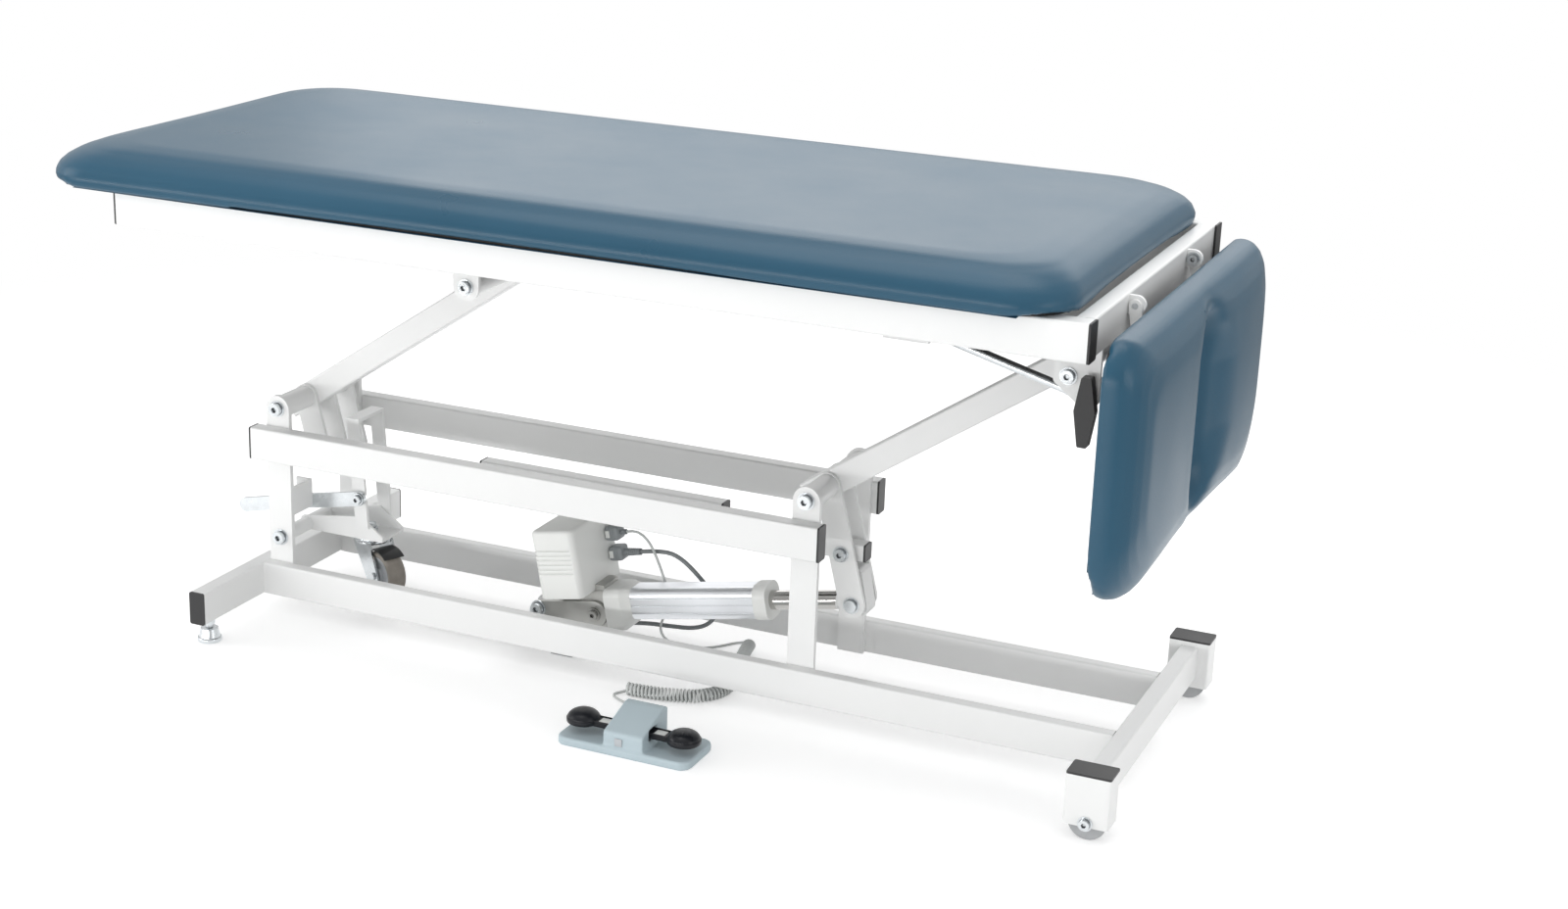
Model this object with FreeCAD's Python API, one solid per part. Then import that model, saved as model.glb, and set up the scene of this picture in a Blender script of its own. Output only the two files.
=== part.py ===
import FreeCAD, Part
import math
import os

os.makedirs("parts", exist_ok=True)
V = FreeCAD.Vector
X, Y, Z = V(1, 0, 0), V(0, 1, 0), V(0, 0, 1)
FRONT, REAR = -1, 1

# A powered treatment table on a two-arm parallel lift, at its rest height.
# Millimetres. X runs from the foot end to the head end, -Y is the front, Z is up.
# The origin is on the floor, under the middle of the table's bounding box.

# Driving sizes
pad_length = 1500.0
pad_width = 686.0
hinge_beyond_pad = 34.0
nose_reach = 67.0
pivot_height = 326.5
arm_length = 459.6
arm_angle_deg = 34.08
pivot_spacing = 858.3
head_pivot_inset = 31.5
frame_above_pivot = 53.0
deck_thickness = 12.0
pad_thickness = 40.0

# Clearances shared by all the pieces
running_fit = 0.08
fixed_fit = 0.05
body_gap = 0.3
cap_slip = 0.2
overrun = 6.0
touching = 0.001

# Rectangular tubes
tube_corner = 3.0
tube_wall = 2.0
cap_head = 3.0
cap_plug = 14.0

# Base frame
base_tube_bottom = 34.0
base_tube_height = 50.0
base_tube_width = 25.0
base_rail_width = 20.0
base_half_width = 272.0
head_tube_reach = 467.6
post_outer_y = 100.0
post_thickness = 8.0
post_width = 40.0
upper_rail_width = 25.0
upper_rail_height = 50.0
upper_rail_drop = 27.5
upper_rail_past_foot = 32.1
upper_rail_past_head = 27.6

# Rollers and their stubs at the head end
stub_length = 60.0
stub_width = 40.0
stub_bottom = 21.0
stub_top = 90.0
roller_radius = 26.0
roller_width = 25.0
roller_edge = 2.0
axle_radius = 4.0

# Levelling feet at the foot end
level_foot_inset = 29.0
level_pad_radius = 18.0
level_pad_height = 7.0
level_collar_radius = 13.0
level_collar_height = 13.0
level_stem_radius = 5.0
level_stem_length = 52.0
level_nut_radius = 9.0
level_nut_height = 7.0

# Bolts: shank radius, head radius and head height of the large and the small size
pivot_bolt = (6.0, 9.5, 8.0)
frame_bolt = (5.0, 8.5, 6.5)
small_bolt = (4.0, 7.0, 5.5)
hinge_bolt = (4.0, 6.4, 5.0)
washer_extra = 3.0
washer_thickness = 2.0
socket_share = 0.5
socket_depth_share = 0.6
pivot_bolt_reach = 34.0

# Lift arms
arm_width = 40.0
arm_height = 37.0
arm_past_pivot = 36.0
arm_past_upper = 20.0
arm_cap_length = 5.0
pivot_tube_radius = 17.0
torque_tube_radius = 15.0
bracket_outer_y = 193.0
bracket_thickness = 6.0

# Lever plates, tie bar and the pin that the actuator pushes
lever_thickness = 6.0
lever_end_radius = 19.0
lever_angle_deg = -75.4
tie_radius = 100.0
actuator_radius = 175.7
actuator_pin_radius = 7.0
outer_lever_y = 70.0
tie_size = 25.0
tie_past_foot = 27.0
tie_past_head = 28.0
doubler_start = 274.0
doubler_length = 393.0

# Actuator, in its own frame: u along its axis from the rear pin, w square to it, y across
rear_pin_x = -164.5
rear_pin_height = 59.5
rear_pin_radius = 6.0
mount_bar_width = 50.0
mount_bar_thickness = 10.0
mount_lug_thickness = 16.0
mount_lug_radius = 14.0
cheek_outer_y = 30.0
cheek_thickness = 6.0
cheek_tail_radius = 11.0
cheek_front_radius = 20.0
cheek_front = (92.7, -10.5)
housing_u = (40.0, 113.0)
housing_w = (-30.0, 24.0)
drum_centre = (100.0, -3.0)
drum_radius = 36.0
drum_half_width = 23.0
motor_u = (27.0, 98.0)
motor_w = (24.0, 129.0)
motor_half_depth = 65.0
motor_corner = 9.0
motor_groove_count = 6
motor_groove_first = 62.0
motor_groove_pitch = 7.0
motor_groove_depth = 1.5
motor_groove_height = 2.4
collar_u = (113.0, 139.0, 153.0)
collar_w = (-38.0, 26.0)
collar_half_width = 32.0
collar_corner = 11.0
sleeve_size = 48.0
sleeve_corner = 12.0
sleeve_bore_radius = 17.0
sleeve_groove = 3.0
sleeve_groove_depth = 1.6
sleeve_groove_pitch = 11.0
sleeve_end_u = 352.0
nose_collar_length = 20.0
nose_collar_size = 53.0
nose_collar_corner = 18.0
sleeve_bore_start = 122.0
rod_radius = 14.0
rod_inner_u = 232.0
piston_length = 14.0
eye_half_width = 18.5
eye_half_thickness = 16.0
eye_below = 19.0
eye_above = 50.0
eye_corner = 8.0
slot_half_width = 10.0
slot_below = 10.0
slot_above = 39.0

# Top frame
pad_overhang = 24.4
top_rail_width = 30.0
top_rail_height = 50.0
top_rail_start = 123.6
top_rail_end_gap = 9.7
cross_width = 25.0
foot_bracket_width = 40.0
foot_bracket_radius = 20.0
head_bracket_back = 19.5
head_bracket_front = 40.5
head_bracket_drop = 34.0
head_bracket_slant = (9.0, 12.5)
bracket_corner = 6.0
deck_inset = 5.0
pad_corner = 80.0
side_pull = 3.0
pad_edge_inset = 75.0

# Nose section, hanging from its hinge at the head end
hinge_below_deck = 15.0
hinge_tab_y = 141.0
hinge_tab_thickness = 6.0
hinge_tab_radius = 12.0
nose_ear_radius = 8.0
nose_back = 15.0
nose_board_thickness = 12.0
nose_board_below_hinge = 5.5
nose_pad_below_hinge = 1.5
nose_pad_drop = 337.0
nose_inset = 8.0
nose_top_corner = 46.0
nose_low_corner = 74.0
nose_notch = 9.0
nose_edge_inset = 56.0
face_slot_half_width = 37.0
face_slot_drops = (287.0, 47.0)
face_slot_flare = 24.0
nose_plate_width = 44.0
nose_plate_height = 70.0
nose_plate_thickness = 4.0

# Release rod, its lock and the handle by the head bracket
release_rod_y = -176.0
release_rod_radius = 6.2
release_rod_slope = -0.267
release_rod_low = (682.0, 556.36)
release_rod_length = 232.0
lock_length = 62.0
lock_width = 30.0
lock_height = 40.0
lock_stem = 16.0
lock_overlap = 24.0
handle_pivot = (697.0, 562.0)
handle_y = (-215.0, -200.0)
handle_shaft_radius = 5.0
handle_hub_radius = 9.0
handle_corner = 5.0
handle_wide = 27.0
handle_narrow = 12.6
handle_above = 28.8
handle_waist_drop = 15.3
handle_below = 61.2
crank_width = 14.0
crank_thickness = 5.0
crank_pin_radius = 3.0
crank_slack = 1.05

# Lifting caster set at the foot end
caster_pivot_height = 123.0
caster_shaft_radius = 11.0
caster_arm_end = 135.4
caster_arm_half_width = 30.0
caster_arm_plate = 4.0
caster_plate_height = 114.0
caster_flange_top = 150.0
caster_flange_mid = 96.0
strap_inner_y = 30.0
strap_thickness = 5.0
strap_width = 22.0
strap_bottom = 134.0
strap_top = 307.0
strap_bottom_x = 113.4
strap_top_x = 100.4
swivel_offset = 98.4
swivel_angle_deg = -25.0
swivel_trail = 36.0
swivel_disc_radius = 24.0
swivel_stem_radius = 6.0
fork_plate_height = 104.0
fork_plate_thickness = 5.0
fork_gap = 2.5
fork_leg_thickness = 3.5
fork_leg_width = 32.0
wheel_radius = 37.5
wheel_width = 31.0
wheel_height = 59.0
wheel_axle_radius = 5.0
tyre_depth = 9.0
wheel_recess_depth = 4.6
lever_pivot = (5.0, 164.0)
lever_outer_end = (-104.6, 139.0)
strap_bolt = (101.4, 183.0)
lever_y = (-43.0, -37.0)
lever_half_width = 11.0
lever_bracket_z = (159.0, 203.0)
lever_bracket_thickness = 4.0
lever_lip = 26.0
strap_slot_half = 9.0

# Foot control on the floor
pedal_x = (22.0, 222.0)
pedal_y = (-325.0, -235.0)
pedal_plate = 12.0
pedal_corner = 16.0
hump_x = (94.0, 154.0)
hump_y = (-321.0, -243.0)
hump_front_height = 33.0
hump_rear_height = 52.0
hump_ridge = 14.0
hump_fillet = 5.0
treadle_y = -288.0
treadle_reach = 58.0
dome_radius = 24.0
dome_low = 24.0
dome_skirt = 9.0
dome_crown = 10.0
treadle_arm_width = 22.0
treadle_arm_height = 9.0
treadle_pivot_inset = 12.0
treadle_pin_radius = 3.0
treadle_pocket_gap = 1.2
treadle_pocket_drop = 4.0

# Cords and their connectors
mains_radius = 3.25
control_radius = 2.0
mains_connector_gap = 0.9
control_connector_gap = 1.4
mains_connector = (44.0, 62.0)
control_connector = (42.0, 94.0)
connector_length = 22.0
connector_width = 26.0
connector_height = 22.0
mains_relief_length = 25.0
control_relief_length = 6.0
relief_rib = 2.0
relief_rib_count = 4

# The mains cord's coil on the floor behind the front rail, and its plug
coil_centre = (-262.0, 2.0)
coil_run = 130.0
coil_outer_radius = 42.0
coil_pitch = 8.0
coil_layer_gap = 0.6
coil_half_turns = 6
coil_tail = 52.0
plug_length = 34.0
plug_width = 27.0
plug_height = 21.0
plug_neck_length = 14.0
blade = (17.0, 6.3, 1.5)
blade_spread = 6.35
earth_pin_radius = 2.4

# The curled stretch of the foot control's cord
curl_radius = 8.0
curl_pitch = 5.6
curl_lift = 0.6
curl_lead_in = 9.0
gap_skip = 8
gap_window = 400

# Share of a curl's pitch over which its direction is read
look_share = 0.0025

# Share of the shorter run that a cord's bend takes up on each side of its point
run_share = 0.45

# The cords' routes
mains_route = [V(4, 44, 157), V(32, 46, 150), V(62, 49, 124), V(84, 52, 98), V(90, 54, 72), V(78, 54, 50),
               V(52, 54, 38), V(14, 53, 35), V(-32, 53, 32), V(-82, 50, 21), V(-130, 47, 8),
               V(-168, 44, 3.25)]
control_route = [V(-38, 39, 184), V(-15, 36, 170), V(-1, 35, 145), V(14, 34, 110), V(21, 34, 84),
                 V(13, 36, 60), V(2, 40, 36), V(6, 47, 15), V(30, 57, 4), V(62, 70, 2), V(82, 92, 2),
                 V(94, 112, 2.1), V(108, 123, 2.3)]
curl_route = [V(124, 98, 0), V(135, 40, 0), V(155, -30, 0), V(164, -71, 0), V(145, -107, 0), V(112, -122, 0),
              V(74, -132, 0), V(36, -134, 0)]
lead_route = [V(26, -133, 3), V(15, -143, 2.2), V(24, -158, 2.2), V(55, -170, 3), V(88, -190, 8),
              V(106, -215, 18)]
lead_end_height = 28.0
lead_end_x = 112.0

# Places that follow from the sizes above
overall_length = pad_length + hinge_beyond_pad + nose_reach
pad_foot_x = -overall_length / 2
pad_head_x = pad_foot_x + pad_length
hinge_x = pad_head_x + hinge_beyond_pad
arm_angle = math.radians(arm_angle_deg)
arm_run = arm_length * math.cos(arm_angle)
arm_rise = arm_length * math.sin(arm_angle)
head_upper_x = pad_head_x - head_pivot_inset
head_pivot_x = head_upper_x - arm_run
foot_pivot_x = head_pivot_x - pivot_spacing
foot_upper_x = foot_pivot_x + arm_run
upper_height = pivot_height + arm_rise
top_rail_bottom = upper_height + frame_above_pivot
deck_bottom = top_rail_bottom + top_rail_height
pad_bottom = deck_bottom + deck_thickness
hinge_height = deck_bottom - hinge_below_deck
foot_tube_x = foot_pivot_x - post_width / 2 - base_tube_width / 2
head_tube_x = head_pivot_x + head_tube_reach
base_tube_middle = base_tube_bottom + base_tube_height / 2
post_inner_y = post_outer_y - post_thickness
upper_rail_top = pivot_height - upper_rail_drop
top_rail_middle = top_rail_bottom + top_rail_height / 2
top_rail_outer_y = pad_width / 2 - pad_overhang
top_rail_inner_y = top_rail_outer_y - top_rail_width
top_rail_foot_x = pad_foot_x + top_rail_start
top_rail_head_x = hinge_x - top_rail_end_gap
bracket_inner_y = bracket_outer_y - bracket_thickness
lever_inner_y = arm_width / 2


def place(x, y, z):
    return V(x, y, z)


def box(x_span, y_span, z_span):
    """A block between two limits along each axis."""
    size = [span[1] - span[0] for span in (x_span, y_span, z_span)]
    return Part.makeBox(size[0], size[1], size[2], place(x_span[0], y_span[0], z_span[0]))


def cylinder(start, end, radius):
    """A round bar from start to end."""
    span = end - start
    return Part.makeCylinder(radius, span.Length, start, span)


def outline(points, radii):
    """A closed wire through points, each corner rounded by its own radius."""
    corners = []
    for index, corner in enumerate(points):
        radius = radii[index]
        if radius == 0:
            corners.append((corner, None, corner))
            continue
        before = (points[index - 1] - corner).normalize()
        after = (points[(index + 1) % len(points)] - corner).normalize()
        half = before.getAngle(after) / 2
        inward = (before + after).normalize()
        centre = corner + inward * (radius / math.sin(half))
        reach = radius / math.tan(half)
        corners.append((corner + before * reach, centre - inward * radius, corner + after * reach))
    edges = []
    for index, (start, middle, end) in enumerate(corners):
        if middle:
            edges.append(Part.Arc(start, middle, end).toShape())
        following = corners[(index + 1) % len(corners)][0]
        if (following - end).Length > touching:
            edges.append(Part.makeLine(end, following))
    return Part.Wire(edges)


def slab(points, radii, travel):
    """A flat piece: an outline with rounded corners, pushed along travel."""
    return Part.Face(outline(points, radii)).extrude(travel)


def plate(points, radii, y_low, y_high):
    """A plate standing in an XZ plane, from (x, z) points."""
    return slab([place(x, y_low, z) for x, z in points], radii, Y * (y_high - y_low))


def link_plate(start, start_radius, end, end_radius, y_low, y_high):
    """A link in an XZ plane: two round ends joined by tangent sides."""
    first = place(start[0], y_low, start[1])
    last = place(end[0], y_low, end[1])
    along = (last - first).normalize()
    across = Y.cross(along)
    swing = math.acos((start_radius - end_radius) / (last - first).Length)
    upper = along * math.cos(swing) + across * math.sin(swing)
    lower = along * math.cos(swing) - across * math.sin(swing)
    edges = [Part.makeLine(first + upper * start_radius, last + upper * end_radius),
             Part.Arc(last + upper * end_radius, last + along * end_radius,
                      last + lower * end_radius).toShape(),
             Part.makeLine(last + lower * end_radius, first + lower * start_radius),
             Part.Arc(first + lower * start_radius, first - along * start_radius,
                      first + upper * start_radius).toShape()]
    return Part.Face(Part.Wire(edges)).extrude(Y * (y_high - y_low))


def bar(start, end, width, height, corner, across=Y):
    """A solid rectangular bar: width lies along across, height square to it."""
    rise = (end - start).normalize().cross(across)
    signs = ((1, 1), (-1, 1), (-1, -1), (1, -1))
    points = [start + across * (s * width / 2) + rise * (t * height / 2) for s, t in signs]
    return slab(points, [corner] * 4, end - start)


def tube(start, end, width, height, across=Y):
    """A rectangular tube, open at both ends."""
    along = (end - start).normalize()
    inner = bar(start - along * overrun, end + along * overrun, width - 2 * tube_wall,
                height - 2 * tube_wall, tube_corner - tube_wall, across)
    return bar(start, end, width, height, tube_corner, across).cut(inner)


def end_cap(end, outward, width, height, across=Y):
    """A moulded cap: a head over the tube's end and a plug inside it."""
    head = bar(end, end + outward * cap_head, width, height, tube_corner, across)
    plug = bar(end - outward * cap_plug, end, width - 2 * tube_wall - 2 * cap_slip,
               height - 2 * tube_wall - 2 * cap_slip, tube_corner, across)
    return head.fuse(plug).removeSplitter()


def bolt(seat, inward, kind, reach):
    """A socket-head bolt with its washer, seated on a face and running inward."""
    shank_radius, head_radius, head_height = kind
    under = seat - inward * washer_thickness
    top = under - inward * head_height
    socket_radius = head_radius * socket_share
    socket_depth = head_height * socket_depth_share
    side = inward.cross(Z if abs(inward.z) < abs(inward.y) else X).normalize()
    other = inward.cross(side)
    ring = [top + side * (socket_radius * math.cos(math.pi * k / 3))
            + other * (socket_radius * math.sin(math.pi * k / 3)) for k in range(6)]
    socket = slab(ring, [0] * 6, inward * socket_depth)
    washer = cylinder(seat, under, head_radius + washer_extra)
    head = cylinder(under, top, head_radius)
    body = washer.fuse([head, cylinder(under, seat + inward * reach, shank_radius)])
    return body.removeSplitter().cut(socket)


def hole(x, z, radius, y_low, y_high):
    """A cutter for a round hole along Y, past both faces."""
    return cylinder(place(x, y_low - overrun, z), place(x, y_high + overrun, z), radius)


def export(name, *solids):
    """One sub-part to its own file, as one solid or a group of separate solids."""
    shape = solids[0] if len(solids) == 1 else Part.makeCompound(list(solids))
    shape.exportStep("parts/" + name + ".step")


# Base frame

def foot_cross_tube():
    half = base_half_width - cap_head
    body = tube(place(foot_tube_x, -half, base_tube_middle), place(foot_tube_x, half, base_tube_middle),
                base_tube_width, base_tube_height, X)
    for side in (FRONT, REAR):
        y = side * (base_half_width - level_foot_inset)
        body = body.cut(cylinder(place(foot_tube_x, y, base_tube_bottom - overrun),
                                 place(foot_tube_x, y, base_tube_bottom + tube_wall + touching),
                                 level_stem_radius + fixed_fit))
    return body


def head_cross_tube():
    half = base_half_width - stub_width
    return tube(place(head_tube_x, -half, base_tube_middle), place(head_tube_x, half, base_tube_middle),
                base_tube_width, base_tube_height, X)


def base_rail(side):
    y = side * (post_outer_y + base_rail_width / 2)
    return tube(place(foot_tube_x + base_tube_width / 2, y, base_tube_middle),
                place(head_tube_x - base_tube_width / 2, y, base_tube_middle),
                base_rail_width, base_tube_height)


def post(side, x, hole_heights):
    """A flat upright welded inside the base rail, with a round top."""
    low, high = sorted((side * post_inner_y, side * post_outer_y))
    left, right = x - post_width / 2, x + post_width / 2
    top = pivot_height + post_width / 2
    round_top = post_width / 2
    body = plate([(left, base_tube_bottom), (right, base_tube_bottom), (right, top), (left, top)],
                 [0, 0, round_top, round_top], low, high)
    for z in hole_heights:
        body = body.cut(hole(x, z, pivot_bolt[0] + fixed_fit, low, high))
    return body


def upper_rail_ends(side):
    y = side * (post_outer_y + upper_rail_width / 2)
    z = upper_rail_top - upper_rail_height / 2
    return place(foot_pivot_x - upper_rail_past_foot, y, z), place(head_pivot_x + upper_rail_past_head, y, z)


def upper_rail(side):
    start, end = upper_rail_ends(side)
    return tube(start, end, upper_rail_width, upper_rail_height)


def roller_stub(side):
    """An upright open-bottomed tube that houses one roller."""
    y = side * (base_half_width - stub_width / 2)
    body = tube(place(head_tube_x, y, stub_bottom), place(head_tube_x, y, stub_top), stub_width, stub_length)
    low, high = sorted((side * base_half_width, side * (base_half_width - stub_width)))
    return body.cut(hole(head_tube_x, roller_radius, axle_radius + fixed_fit, low, high))


def base_caps():
    """The black caps of the foot cross tube, the upper rails and the roller stubs."""
    caps = []
    for side in (FRONT, REAR):
        y = side * (base_half_width - cap_head)
        caps.append(end_cap(place(foot_tube_x, y, base_tube_middle), Y * side,
                            base_tube_width, base_tube_height, X))
        start, end = upper_rail_ends(side)
        caps.append(end_cap(start, -X, upper_rail_width, upper_rail_height))
        caps.append(end_cap(end, X, upper_rail_width, upper_rail_height))
        stub_y = side * (base_half_width - stub_width / 2)
        caps.append(end_cap(place(head_tube_x, stub_y, stub_top), Z, stub_width, stub_length))
    return caps


def levelling_foot(side):
    """A two-step round foot on a threaded stem with its lock nut."""
    y = side * (base_half_width - level_foot_inset)
    pad = cylinder(place(foot_tube_x, y, 0), place(foot_tube_x, y, level_pad_height), level_pad_radius)
    pad = pad.makeFillet(level_pad_height / 3, [pad.Edges[0]])
    collar_top = level_pad_height + level_collar_height
    collar = Part.makeCone(level_pad_radius - level_collar_height / 6, level_collar_radius,
                           level_collar_height, place(foot_tube_x, y, level_pad_height), Z)
    stem = cylinder(place(foot_tube_x, y, collar_top - overrun), place(foot_tube_x, y, level_stem_length),
                    level_stem_radius)
    nut = cylinder(place(foot_tube_x, y, base_tube_bottom - level_nut_height),
                   place(foot_tube_x, y, base_tube_bottom), level_nut_radius)
    return pad.fuse([collar, stem, nut]).removeSplitter()


def roller(side):
    """A roller with a rounded tread, on its axle screw."""
    y = side * (base_half_width - stub_width / 2)
    centre = place(head_tube_x, y, roller_radius)
    start, end = centre - Y * (roller_width / 2), centre + Y * (roller_width / 2)
    body = cylinder(start, end, roller_radius)
    body = body.makeFillet(roller_edge, [edge for edge in body.Edges if edge.Closed])
    return body.cut(hole(head_tube_x, roller_radius, axle_radius + running_fit, start.y, end.y))


def base_bolts():
    """The pivot bolts of the arms and of the caster arm, the rear pin, the roller axles, the lever bolt."""
    bolts = []
    for side in (FRONT, REAR):
        seat_y = side * post_outer_y
        inward = Y * -side
        for x, z in ((foot_pivot_x, pivot_height), (head_pivot_x, pivot_height),
                     (foot_pivot_x, caster_pivot_height)):
            bolts.append(bolt(place(x, seat_y, z), inward, pivot_bolt, pivot_bolt_reach))
        bolts.append(bolt(place(head_tube_x, side * base_half_width, roller_radius), inward,
                          (axle_radius, small_bolt[1], small_bolt[2]), stub_width))
    pin_seat = cheek_outer_y + body_gap
    bolts.append(bolt(place(rear_pin_x, -pin_seat, rear_pin_height), Y,
                      (rear_pin_radius, pivot_bolt[1], pivot_bolt[2]), 2 * pin_seat))
    lip_y = lever_y[0] - body_gap - lever_bracket_thickness
    bolts.append(bolt(place(foot_pivot_x + lever_pivot[0], lip_y, lever_pivot[1]), Y,
                      small_bolt, lever_y[1] - lip_y + body_gap))
    return bolts


def actuator_mount():
    """A flat cross member low between the rails, with the lug that holds the rear pin."""
    half = mount_bar_width / 2
    top = base_tube_bottom + mount_bar_thickness
    body = box((rear_pin_x - half, rear_pin_x + half), (-post_outer_y, post_outer_y), (base_tube_bottom, top))
    left, right = rear_pin_x - mount_lug_radius, rear_pin_x + mount_lug_radius
    lug_top = rear_pin_height + mount_lug_radius
    lug = plate([(left, top), (right, top), (right, lug_top), (left, lug_top)],
                [0, 0, mount_lug_radius, mount_lug_radius], -mount_lug_thickness / 2, mount_lug_thickness / 2)
    lug = lug.cut(hole(rear_pin_x, rear_pin_height, rear_pin_radius + fixed_fit,
                       -mount_lug_thickness / 2, mount_lug_thickness / 2))
    return body.fuse(lug).removeSplitter()


def lever_bracket():
    """The bent plate on the front foot post that guides and pivots the caster lever."""
    right = foot_pivot_x + post_width / 2
    lip_front = lever_y[0] - body_gap - lever_bracket_thickness
    web = box((right - lever_bracket_thickness, right), (-post_inner_y, lip_front), lever_bracket_z)
    lip = box((right - lever_lip, right), (lip_front, lip_front + lever_bracket_thickness), lever_bracket_z)
    lip = lip.cut(hole(foot_pivot_x + lever_pivot[0], lever_pivot[1], small_bolt[0] + fixed_fit,
                       lip_front, lip_front + lever_bracket_thickness))
    return web.fuse(lip).removeSplitter()


# Lift arms, levers and tie bar

def arm_direction():
    return place(math.cos(arm_angle), 0, math.sin(arm_angle))


def lift_arm(pivot_x):
    """The central arm tube with its lower pivot tube and its upper torque tube, one weldment."""
    pivot = place(pivot_x, 0, pivot_height)
    along = arm_direction()
    upper = pivot + along * arm_length
    foot_end = pivot - along * arm_past_pivot
    body = tube(foot_end, upper + along * arm_past_upper, arm_width, arm_height)
    cap = bar(foot_end - along * arm_cap_length, foot_end, arm_width, arm_height, tube_corner)
    lower_half = post_inner_y - body_gap
    upper_half = bracket_inner_y - body_gap
    lower_tube = cylinder(pivot - Y * lower_half, pivot + Y * lower_half, pivot_tube_radius)
    upper_tube = cylinder(upper - Y * upper_half, upper + Y * upper_half, torque_tube_radius)
    body = body.fuse([cap, lower_tube, upper_tube]).removeSplitter()
    body = body.cut(cylinder(pivot - Y * (lower_half + overrun), pivot + Y * (lower_half + overrun),
                             pivot_bolt[0] + running_fit))
    return body.cut(cylinder(upper - Y * (upper_half + overrun), upper + Y * (upper_half + overrun),
                             frame_bolt[0] + running_fit))


def lever_point(pivot_x, radius):
    angle = math.radians(lever_angle_deg)
    return pivot_x + radius * math.cos(angle), pivot_height + radius * math.sin(angle)


def lever_plates(pivot_x, reach, lows, pin_radius, pin_fit):
    """Plates welded to an arm's pivot tube, drilled for the tie bolt and for the actuator pin."""
    end = lever_point(pivot_x, reach)
    tie = lever_point(pivot_x, tie_radius)
    plates = []
    for low in lows:
        high = low + lever_thickness
        body = link_plate((pivot_x, pivot_height), lever_end_radius, end, lever_end_radius, low, high)
        body = body.cut(hole(pivot_x, pivot_height, pivot_tube_radius + fixed_fit, low, high))
        body = body.cut(hole(tie[0], tie[1], frame_bolt[0] + running_fit, low, high))
        if pin_radius:
            body = body.cut(hole(end[0], end[1], pin_radius + pin_fit, low, high))
        plates.append(body)
    return plates


def actuator_pin():
    """The pin between the head levers, with a flange at each end."""
    x, z = lever_point(head_pivot_x, actuator_radius)
    half = lever_inner_y + lever_thickness
    pin = cylinder(place(x, -half, z), place(x, half, z), actuator_pin_radius)
    for side in (FRONT, REAR):
        face = place(x, side * half, z)
        inner = face + Y * (side * washer_thickness)
        outer = inner + Y * (side * small_bolt[2])
        washer = cylinder(face, inner, actuator_pin_radius + washer_extra + washer_thickness)
        head = cylinder(inner, outer, actuator_pin_radius + washer_thickness)
        pin = pin.fuse([washer, head])
    return pin.removeSplitter()


def tie_height():
    return lever_point(foot_pivot_x, tie_radius)[1]


def tie_spans():
    """The x spans and heights of the tie bar and of the doubler on top of it."""
    foot_x = lever_point(foot_pivot_x, tie_radius)[0]
    head_x = lever_point(head_pivot_x, tie_radius)[0]
    start = foot_x + doubler_start
    return ((foot_x - tie_past_foot, head_x + tie_past_head, tie_height()),
            (start, start + doubler_length, tie_height() + tie_size))


def tie_bar():
    pieces = [tube(place(start, 0, z), place(end, 0, z), tie_size, tie_size) for start, end, z in tie_spans()]
    body = pieces[0].fuse(pieces[1])
    for pivot_x in (foot_pivot_x, head_pivot_x):
        x, z = lever_point(pivot_x, tie_radius)
        body = body.cut(hole(x, z, frame_bolt[0] + fixed_fit, -tie_size, tie_size))
    return body


def tie_caps():
    caps = []
    for start, end, z in tie_spans():
        caps.append(end_cap(place(start, 0, z), -X, tie_size, tie_size))
        caps.append(end_cap(place(end, 0, z), X, tie_size, tie_size))
    return caps


def tie_bolts():
    """The bolts at the tie bar's two ends; the foot one runs on to the outer lever."""
    seat_y = -(lever_inner_y + lever_thickness + body_gap)
    bolts = []
    for pivot_x, far_y in ((foot_pivot_x, outer_lever_y + lever_thickness), (head_pivot_x, -seat_y)):
        x, z = lever_point(pivot_x, tie_radius)
        bolts.append(bolt(place(x, seat_y, z), Y, frame_bolt, far_y - seat_y + body_gap))
    return bolts


# Actuator

def actuator_frame():
    """The rear pin, the unit vector along the actuator and the one square to it."""
    x, z = lever_point(head_pivot_x, actuator_radius)
    origin = place(rear_pin_x, 0, rear_pin_height)
    along = (place(x, 0, z) - origin).normalize()
    return origin, along, along.cross(Y)


def actuator_point(u, w, y=0):
    origin, along, rise = actuator_frame()
    return origin + along * u + rise * w + Y * y


def actuator_length():
    x, z = lever_point(head_pivot_x, actuator_radius)
    return (place(x, 0, z) - place(rear_pin_x, 0, rear_pin_height)).Length


def actuator_bar(u_span, w_span, half_width, corner):
    """A bar along the actuator with a rounded rectangular section."""
    start = actuator_point(u_span[0], (w_span[0] + w_span[1]) / 2)
    end = actuator_point(u_span[1], (w_span[0] + w_span[1]) / 2)
    return bar(start, end, 2 * half_width, w_span[1] - w_span[0], corner)


def actuator_bore(u_span, radius):
    return cylinder(actuator_point(u_span[0], 0), actuator_point(u_span[1], 0), radius)


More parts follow.
